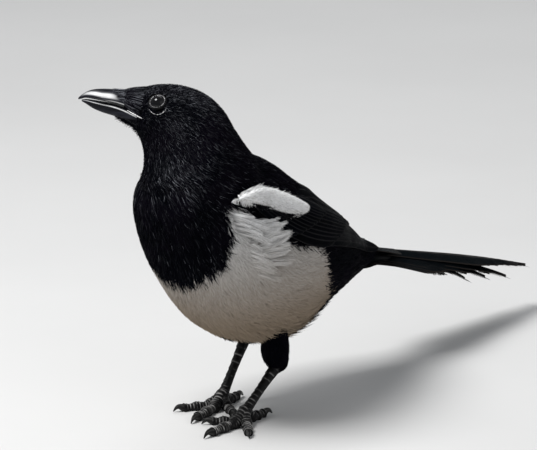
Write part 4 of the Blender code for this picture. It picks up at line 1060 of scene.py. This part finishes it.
def make_tail(material):
    """Twelve graduated tail feathers stacked like a roof, with coverts over and under their root."""
    shapes = []
    for k, length in enumerate(TAIL_LENGTHS):
        for side in (-1.0, 1.0):
            inner, level, shorter = (0.5, -TAIL_STEP * (k + 1), 1.5 * (side > 0)) if k else (
                -6.0, -TAIL_STEP * (side > 0), 0.0)
            shapes.append(rectrix(side, length - shorter, inner, TAIL_SPREAD[k], level, TAIL_DROOPS[k]))
    for across in np.linspace(-10.0, 10.0, 9):
        tilt = 0.5 if across < 0.0 else -0.5
        for start, reach, lifts, camber in ((-12.0, 32.0, (1.6, 1.4), 0.6), (-10.0, 44.0, (-6.6, -5.6), -0.3)):
            shapes.append(vane(tail_carrier, (start, across * 0.8), (reach - abs(across), across * 1.2),
                               7.0, lifts, tilt, camber=camber))
    s, turn = steps(16), turns(24)
    wide = np.interp(s, (0.0, 0.3, 1.0), (8.6, 9.6, 4.6))
    tall = np.interp(s, (0.0, 0.4, 1.0), (5.6, 5.2, 1.6))
    core = tail_carrier(-10.0 + 44.0 * s, wide * np.cos(turn), tall * np.sin(turn) - 3.2)
    shapes.append(tube(core, {"mark": 0.0, "tone": 0.0, "run": 0.2, "barb": 0.0}))
    make_piece("tail_feathers", join(shapes), material, ("tail",))


# Head: bill, lids, eyes and bristles

UPPER_BILL = ((-7.0, 6.0, -3.7, 9.0), (-2.0, 8.1, -1.5, 7.4), (3.0, 8.7, 0.7, 5.5), (9.0, 9.4, 2.3, 4.2),
              (15.0, 9.6, 3.3, 3.4), (20.0, 9.2, 4.2, 2.5), (24.0, 7.7, 4.7, 1.6), (26.8, 5.8, 4.0, 0.8),
              (28.1, 4.5, 3.7, 0.35))
LOWER_BILL = ((-7.0, -5.0, -11.2, 8.0), (-2.0, -2.6, -9.8, 6.6), (3.0, -0.5, -7.6, 5.0), (9.0, 1.3, -5.5, 3.7),
              (15.0, 2.3, -3.6, 2.9), (20.0, 3.2, -1.4, 2.1), (23.6, 3.7, 1.0, 1.4), (26.2, 3.5, 2.6, 0.6))


def bill_skin(outline, arch, s, phi):
    """Half of the bill: superellipses along the beak, narrow on the arched side, square at the edge."""
    ahead, top, bottom, half_width = np.moveaxis(curve(np.linspace(0.0, 1.0, len(outline)), outline, s), -1, 0)
    cosine, sine = np.cos(phi), np.sin(phi)
    ridge = np.sign(cosine) * np.abs(cosine) ** 0.9
    square = np.sign(cosine) * np.abs(cosine) ** 0.4
    across = np.where(sine * arch > 0.0, ridge, square)
    middle = (top + bottom) / 2.0 - arch * (top - bottom) * 0.22
    height = np.where(sine > 0.0, (top - middle) * sine, (middle - bottom) * sine)
    return head_point(ahead + 0.0 * phi, half_width * across, middle + height)


def bill_half(outline, arch):
    """A half of the bill with a painted highlight along its cutting edge and, on the upper one, a painted
    highlight along each side.
    """
    s, phi = steps(90), turns(48, 0.5)
    height = np.sin(phi)
    # painted highlight along each cutting edge, fading towards the tip on the upper bill
    corner = np.exp(-((height * arch + 0.42) / 0.13) ** 2)
    if arch > 0.0:
        corner = corner * (0.9 - 0.75 * smooth(s, 0.36, 0.5))
        # painted highlight: a broad pale stripe along each side of the upper bill, rising towards the tip
        highlight_band = np.exp(-((height - 0.37 - 1.3 * np.clip(s - 0.5, 0.0, 1.0)) / 0.25) ** 4)
        highlight_band = highlight_band * smooth(s, 0.27, 0.43) * smooth(1.0 - s, 0.1, 0.45)
    else:
        corner, highlight_band = corner * 1.4, 0.0
    painted_highlight = np.clip(corner * (1.0 - 0.6 * s), 0.0, 1.0) + 0.95 * highlight_band
    return tube(bill_skin(outline, arch, s, phi), {"edge": painted_highlight})


def ring_about(name, distance, long, tall, thick, wobble, tilt, start=0.0, end=360.0):
    """A thin fold about an eye: an ellipse of small circles, whole or fading out at both ends."""
    centre, out = EYES[name]
    along = unit(AHEAD - out * (AHEAD @ out))
    high = np.cross(out, along)
    high = high if high[2] > 0.0 else -high
    slope = math.radians(tilt)
    along, high = circle(along, -high, slope), circle(high, along, slope)
    angle = np.radians(np.linspace(start, end, 96))
    fade = 1.0 if end - start >= 360.0 else np.sqrt(np.sin(np.linspace(0.05, math.pi - 0.05, 96)))
    fade = (thick * fade * (1.0 + wobble * np.sin(angle * 13.0) * np.sin(angle * 7.0 + 1.0)))[:, None, None]
    radial = circle(along * long, high * tall, angle)[:, None]
    return centre + out * distance + radial + fade * circle(unit(radial), out * 1.2, turns(10))


def make_eye(name, eye_look, lid_look):
    """The eyeball with pupil and iris, its pale rim, the dark lid round it and the fold below."""
    centre, out = EYES[name]
    first = unit(np.cross(out, (0.0, 0.0, 1.0)))
    theta = 0.02 + (math.pi - 0.04) * steps(48)
    bulge = EYE_RADIUS * (1.0 + 0.05 * np.exp(-(theta / 0.5) ** 2))
    round_it = circle(first, np.cross(out, first), turns(48))
    points = centre + bulge[..., None] * circle(out, round_it, theta)
    make_piece("eyeball_" + name, tube(points, {"edge": np.clip(theta / 0.95, 0.0, 1.0)}), eye_look,
               ("eye_" + name,))
    around = np.linspace(0.0, TAU, 96)
    lit = 0.42 + 0.58 * smooth(-np.cos(around + 0.6), -0.6, 0.3)
    lit = lit * (0.72 + 0.28 * np.sin(around * 9.0 + 1.0) * np.sin(around * 5.0))
    make_piece("lids_" + name, join([
        tube(ring_about(name, EYE_SUNK, 4.25, 3.45, 0.13, 0.8, 26.0), {"edge": lit[:, None]}),
        tube(ring_about(name, EYE_SUNK - 1.2, 4.65, 3.9, 0.8, 0.1, 20.0), {"edge": 0.0}),
        tube(ring_about(name, EYE_SUNK - 0.25, 3.8, 3.0, 0.42, 0.1, 26.0), {"edge": 0.0}),
        tube(ring_about(name, EYE_SUNK - 0.1, 5.7, 8.0, 0.12, 0.95, 5.0, 208.0, 330.0), {"edge": 0.75}),
    ]), lid_look)


def hairs(roots, middles, tips, width, tone, facing):
    """Fine bristles: ribbons on a parabola through root, middle and tip, turned towards facing."""
    s = steps(6)[None]
    place = (roots[:, None] * (1 - s) * (1 - 2 * s) + middles[:, None] * 4 * s * (1 - s)
             + tips[:, None] * s * (2 * s - 1))
    side = unit(np.cross(unit(np.gradient(place, axis=1)), facing[:, None]))
    half = side * (width[:, None, None] / 2.0) * np.interp(s, (0.0, 0.4, 1.0), (0.9, 1.0, 0.12))
    count = len(roots)
    uv = np.repeat(rng.random((count, 2)) * 0.9 + 0.05, 12, axis=0) + rng.random((count * 12, 2)) * 0.003
    return ribbons(place, half, {"mark": 0.0, "tone": tone[:, None, None], "run": 0.3 + 0.7 * s}, uv)


def bristle_tones(count):
    """Dark bristles, one in three painted pale as a highlight."""
    return np.where(rng.random(count) < 0.3, rng.uniform(0.84, 1.0, count), rng.beta(1.3, 1.7, count) * 0.88)


def make_bristles(material):
    """Bristles from the forehead and lores over the bill's root, and short ones under the chin."""
    def bill_sheet(outline, arch):
        return make_sheet(lambda u, v: bill_skin(outline, arch, u, v), (0.0, 0.0), (1.0, TAU), (120, 145), True)

    sheet = bill_sheet(UPPER_BILL, 1.0)
    count = 3400
    even, bell = draws(count)
    v = even(-0.45, math.pi + 0.45)
    u = even(0.0, 0.2) * (0.2 + 0.8 * smooth(np.sin(v), -0.3, 0.5))
    ahead = -3.0 + 10.0 * smooth(np.sin(v), -0.3, 0.8)
    length = np.maximum(ahead + even(-4.0, 0.5) + 7.0 - u * 35.0, 1.2)
    over = barbs(sheet, u, v, length, even(0.14, 0.3), bell(0.0, 0.1) - np.sign(np.cos(v)) * 0.12,
                 (even(-0.2, 0.7), even(0.1, 0.45)), bell(0.0, 0.5), bell(0.0, 0.08), 0.0, bristle_tones(count),
                 rows=6, towards=1.0)
    count = 1800
    even, bell = draws(count)
    v = even(math.pi - 0.35, TAU + 0.35)
    u = even(0.0, 0.12) * smooth(-np.sin(v), -0.4, 0.9)
    ahead = -5.0 + 7.5 * smooth(-np.sin(v), 0.0, 1.0)
    length = np.maximum(ahead + even(-3.0, 0.5) + 7.0 - u * 33.0, 0.8)
    below = barbs(bill_sheet(LOWER_BILL, -1.0), u, v, length, even(0.14, 0.28), bell(0.0, 0.14),
                  (even(-0.2, 0.5), even(0.05, 0.6)), bell(0.0, 0.5), bell(0.0, 0.1), 0.0,
                  rng.beta(1.4, 2.0, count), rows=6, towards=1.0)
    count = 2200
    even, bell = draws(count)
    v = even(-0.2, math.pi + 0.2)
    back = even(12.7, 14.8)
    roots = skin(back, v, 0.5 - hollow(back, v))
    tips, outward = look_up(sheet, even(0.12, 0.25), v + bell(0.0, 0.1))[:2]
    tips = tips + outward * even(0.1, 0.5)[:, None]
    middles = (roots + tips) / 2.0 + outward * even(0.3, 0.8)[:, None]
    width = even(0.14, 0.3)
    lores = hairs(roots, middles, tips, width, bristle_tones(count) * even(0.6, 1.0), outward)
    count = 1100
    even, bell = draws(count)
    ahead = even(-7.5, 7.0)
    across = bell(0.0, 1.9)
    floor = np.interp(ahead, (-7.0, -2.0, 3.0, 9.0), (-10.4, -9.2, -7.0, -4.9))
    hem = np.interp(ahead, (-6.8, -4.5, -1.1, 3.4, 6.0, 7.9), (-18.6, -14.6, -11.3, -8.6, -6.6, -5.3))
    roots = head_point(ahead - 1.2, across, floor)
    middles = head_point(ahead - 0.7, across * 1.05, floor * 0.45 + hem * 0.55)
    tips = head_point(ahead + even(0.0, 1.8), across * 1.1, hem + even(-0.7, 0.8))
    facing = unit(LEFT + rng.normal(0.0, 0.3, (count, 3)))
    chin = hairs(roots, middles, tips, even(0.25, 0.4), rng.beta(1.0, 3.0, count), facing)
    make_piece("bristles", join([over, lores, below, chin]), material)


def make_gape(material):
    """The fold that carries the line of the mouth back to its corner on both cheeks, painted pale as a
    highlight.
    """
    shapes = []
    s = steps(30)[:, 0]
    lift = curve((0.0, 0.4, 0.75, 1.0), (-0.9, -2.7, -4.2, -5.0), s)
    out = curve((0.0, 0.3, 0.6, 1.0), (6.9, 9.2, 11.4, 13.3), s)
    thick = 0.36 * np.sqrt(np.sin(np.linspace(0.15, math.pi - 0.1, 30)))
    for side in (-1.0, 1.0):
        middle = head_point(1.0 - 11.0 * s, side * out, lift)
        rings = middle[:, None] + thick[:, None, None] * circle(LEFT, UP, turns(8))
        # painted highlight: the whole gape takes the pale end of the lid colours
        shapes.append(tube(rings, {"edge": 1.0}))
    make_piece("gape", join(shapes), material)


# Legs

def scaled(points, radii, plates, front, flats=None, pale=1.0):
    """A limb of overlapping plates: each swells to its rim and drops to the next, most on its front."""
    s = np.append((np.arange(plates)[:, None] + (0.0, 0.25, 0.5, 0.75, 0.88, 0.95)).ravel() / plates, 1.0)
    keys = np.linspace(0.0, 1.0, len(points))
    path = curve(keys, points, s)
    run = unit(np.gradient(path, axis=0))
    side = unit(np.cross(run, front))
    swell = np.append(np.tile((-0.045, -0.01, 0.02, 0.055, 0.075, 0.0), plates), -0.03)[:, None]
    # painted highlight: each plate's rim is painted pale at a random strength, on its front only (the top, on
    # the toes), where light catches it; the pale factor makes it weaker on the shank
    rim = np.append(np.outer(rng.uniform(0.3, 1.25, plates), (0.0, 0.0, 0.0, 0.12, 1.0, 0.6)), 0.0)[:, None]
    turn = turns(20, 0.5)
    facing = smooth(np.cos(turn), -0.35, 0.25)
    radius = curve(keys, radii, s)[:, None] * (1.0 + swell * (0.25 + 0.75 * facing))
    rings = path[:, None] + radius[..., None] * circle(np.cross(side, run)[:, None], side[:, None], turn)
    if flats is not None:
        rings[..., 2] = np.maximum(rings[..., 2], flats)
    return tube(rings, {"edge": rim * facing * pale})


def make_claw(toe, root, way, thick):
    """A claw that arches up from its root and down to its point, ridged along both sides."""
    s = np.linspace(0.0, 1.0, 24)
    arc = s * CLAW_ARC
    line = root + way * (np.sin(arc) * (toe.claw + 0.8) / CLAW_ARC * 1.1)[:, None]
    line[:, 2] = root[2] + np.sin(s * math.pi) ** 1.5 * 1.3 - (root[2] - 0.5) * s**2
    turn = turns(14, 0.5)
    run = unit(np.gradient(line, axis=0))
    across = unit(np.cross(run, (0.0, 0.0, 1.0)))
    size = thick * 0.86 * (1.0 - 0.9 * s**1.2)
    rings = line[:, None] + size[:, None, None] * circle(
        across[:, None] * 0.8, np.cross(across, run)[:, None], turn)
    rings[..., 2] = np.maximum(rings[..., 2], 0.03)
    ridge = np.exp(-((np.cos(turn) ** 2 - 0.75) / 0.12) ** 2) * 0.6
    return tube(rings, {"edge": ridge * (1.0 - smooth(s, 0.6, 0.95))[:, None]})


def make_leg(name, side, material, horn):
    """Shank, toes and claws of one leg."""
    _, _, _, shin = thigh_path(name)
    joint = TOE_JOINT[name]
    start = HEEL[name] + shin * 4.5
    front = unit(np.cross(np.cross(shin, (-1.0, 0.0, 0.0)), shin))
    points = start + (joint - start) * np.array((0.0, 0.3, 0.6, 0.85, 1.0))[:, None]
    radii = TARSUS_RADIUS * np.array((1.7, 1.3, 1.16, 1.28, 1.5))
    make_piece("shank_" + name, scaled(points, radii, 10, front, pale=0.4), material,
               ("tarsus_" + name,))
    toes, claws = [], []
    s = np.linspace(0.0, 1.0, 14)
    for toe in TOES:
        turn = math.radians(toe.turn - FOOT_TURN[name]) * side
        way = np.array((-math.cos(turn), math.sin(turn), 0.0))
        height = toe.radius * TOE_HEIGHT
        path = joint * (1.0, 1.0, 0.0) + way * (s * toe.length)[:, None]
        path[:, 2] = height + (joint[2] - height) * (1.0 - smooth(s, 0.0, TOE_FALL))
        thick = toe.radius * (1.28 - 0.36 * s) * (1.0 + 0.17 * np.cos(s * KNUCKLES * TAU))
        toes.append(scaled(path, thick, int(toe.length / TOE_PLATE), (0.0, 0.0, 1.0), flats=0.02))
        claws.append(make_claw(toe, path[-1] - way * 0.7, way, thick[-1]))
    make_piece("toes_" + name, join(toes), material, ("foot_" + name,))
    make_piece("claws_" + name, join(claws), horn,
               tuple("claw_" + toe.name + "_" + name for toe in TOES))


# Stage: pixels of the photo are counted from its top left corner, lengths are in millimetres

PIXEL = 0.567
IMAGE_MIDDLE = (268.5, 225.0)
FEET_PIXEL = (236.0, 415.0)
CAMERA_HEIGHT = 15.0
CAMERA_AWAY = 3000.0


def make_stage():
    """A pale floor that curves up behind, soft lights and the camera."""
    right, behind = np.array((0.616, -0.788, 0.0)), np.array((-0.788, -0.616, 0.0))
    up = np.array((0.0, 0.0, 1.0))
    s = steps(60)[..., None]
    away = np.interp(s, (0.0, 0.6, 0.8, 1.0), (-3.5, 3.0, 4.2, 4.6))
    grid = right * np.linspace(-6.0, 6.0, 25)[:, None] - behind * away + up * smooth(s, 0.6, 1.0) * 4.0
    mesh = bpy.data.meshes.new("floor")
    mesh.from_pydata(grid.reshape(-1, 3).tolist(), [], grid_faces(60, 25, False)[:, ::-1].tolist())
    mesh.shade_smooth()
    mesh.materials.append(floor_material("studio_floor"))
    add("floor", mesh)

    world = bpy.data.worlds.new("studio")
    world.use_nodes = True
    world.node_tree.nodes["Background"].inputs["Color"].default_value = (0.93, 0.96, 1.0, 1.0)
    world.node_tree.nodes["Background"].inputs["Strength"].default_value = 0.4
    bpy.context.scene.world = world
    for name, way, distance, size, power in (
            ("key", -0.72 * right + 0.4 * behind + 1.35 * up, 1.5, 0.6, 28.0),
            ("fill", 0.9 * right + 0.7 * behind + 0.45 * up, 1.9, 1.4, 2.5),
            ("rim", 0.25 * right - 1.0 * behind + 0.9 * up, 1.7, 0.9, 5.0)):
        lamp = bpy.data.lights.new(name, "AREA")
        lamp.energy = power
        lamp.size = size
        light = add(name, lamp)
        light.location = Vector(unit(way) * distance + 0.1 * up)
        light.rotation_euler = Vector(unit(way)).to_track_quat("Z", "Y").to_euler()

    tilt = math.radians(CAMERA_HEIGHT)
    back, high = circle(behind, up, tilt), circle(up, -behind, tilt)
    target = (right * (IMAGE_MIDDLE[0] - FEET_PIXEL[0]) + high * (FEET_PIXEL[1] - IMAGE_MIDDLE[1])) * PIXEL
    lens = bpy.data.cameras.new("camera")
    lens.sensor_width = 36.0
    lens.lens = 354.7
    lens.clip_end = 100.0
    camera = add("camera", lens)
    turned = Matrix((right, high, back)).transposed().to_4x4()
    turned.translation = Vector((target + back * CAMERA_AWAY + SHIFT) * MM)
    camera.matrix_world = turned
    bpy.context.scene.camera = camera
    bpy.context.scene.view_settings.view_transform = "Standard"


def build():
    """Make every piece."""
    plumage = plumage_material("body_plumage")
    wing = vane_material("wing_plumage", 0.003, (0.0003, 0.0005, 0.0009), (0.0007, 0.001, 0.002),
                         (0.022, 0.0215, 0.0225), 0.12, WING_SHAFT)
    tail = vane_material("tail_plumage", 0.012, (0.0006, 0.0012, 0.002), (0.001, 0.0022, 0.003),
                         (0.03, 0.025, 0.022), 0.4, TAIL_SHAFT)
    # white: the colour of the bill's painted highlights
    bill = horn_material("bill_surface", (0.0048, 0.005, 0.0072), WHITE, 0.3)
    claw = horn_material("claw_surface", (0.004, 0.004, 0.004), (0.25, 0.24, 0.23), 0.35)
    scales = scale_material("leg_surface")
    eye = eye_material("eye_surface")
    lid = lid_material("lid_surface")

    make_skin(plumage)
    sheet = body_sheet()
    for name, shape in lay_coat(sheet).items():
        make_piece(name, shape, plumage)
    for name, side in SIDES.items():
        make_piece("coat_flank_" + name, lay_flank(sheet, side), plumage)
        lay_thigh(name, plumage)
        make_wing(name, side, wing)
        make_scapulars(name, side, plumage)
        make_leg(name, side, scales, claw)
        make_eye(name, eye, lid)
    make_tail(tail)
    make_piece("bill_upper_horn", bill_half(UPPER_BILL, 1.0), bill, ("bill_upper",))
    make_piece("bill_lower_horn", bill_half(LOWER_BILL, -1.0), bill, ("bill_lower",))
    make_gape(lid)
    make_bristles(plumage)
    make_stage()


build()
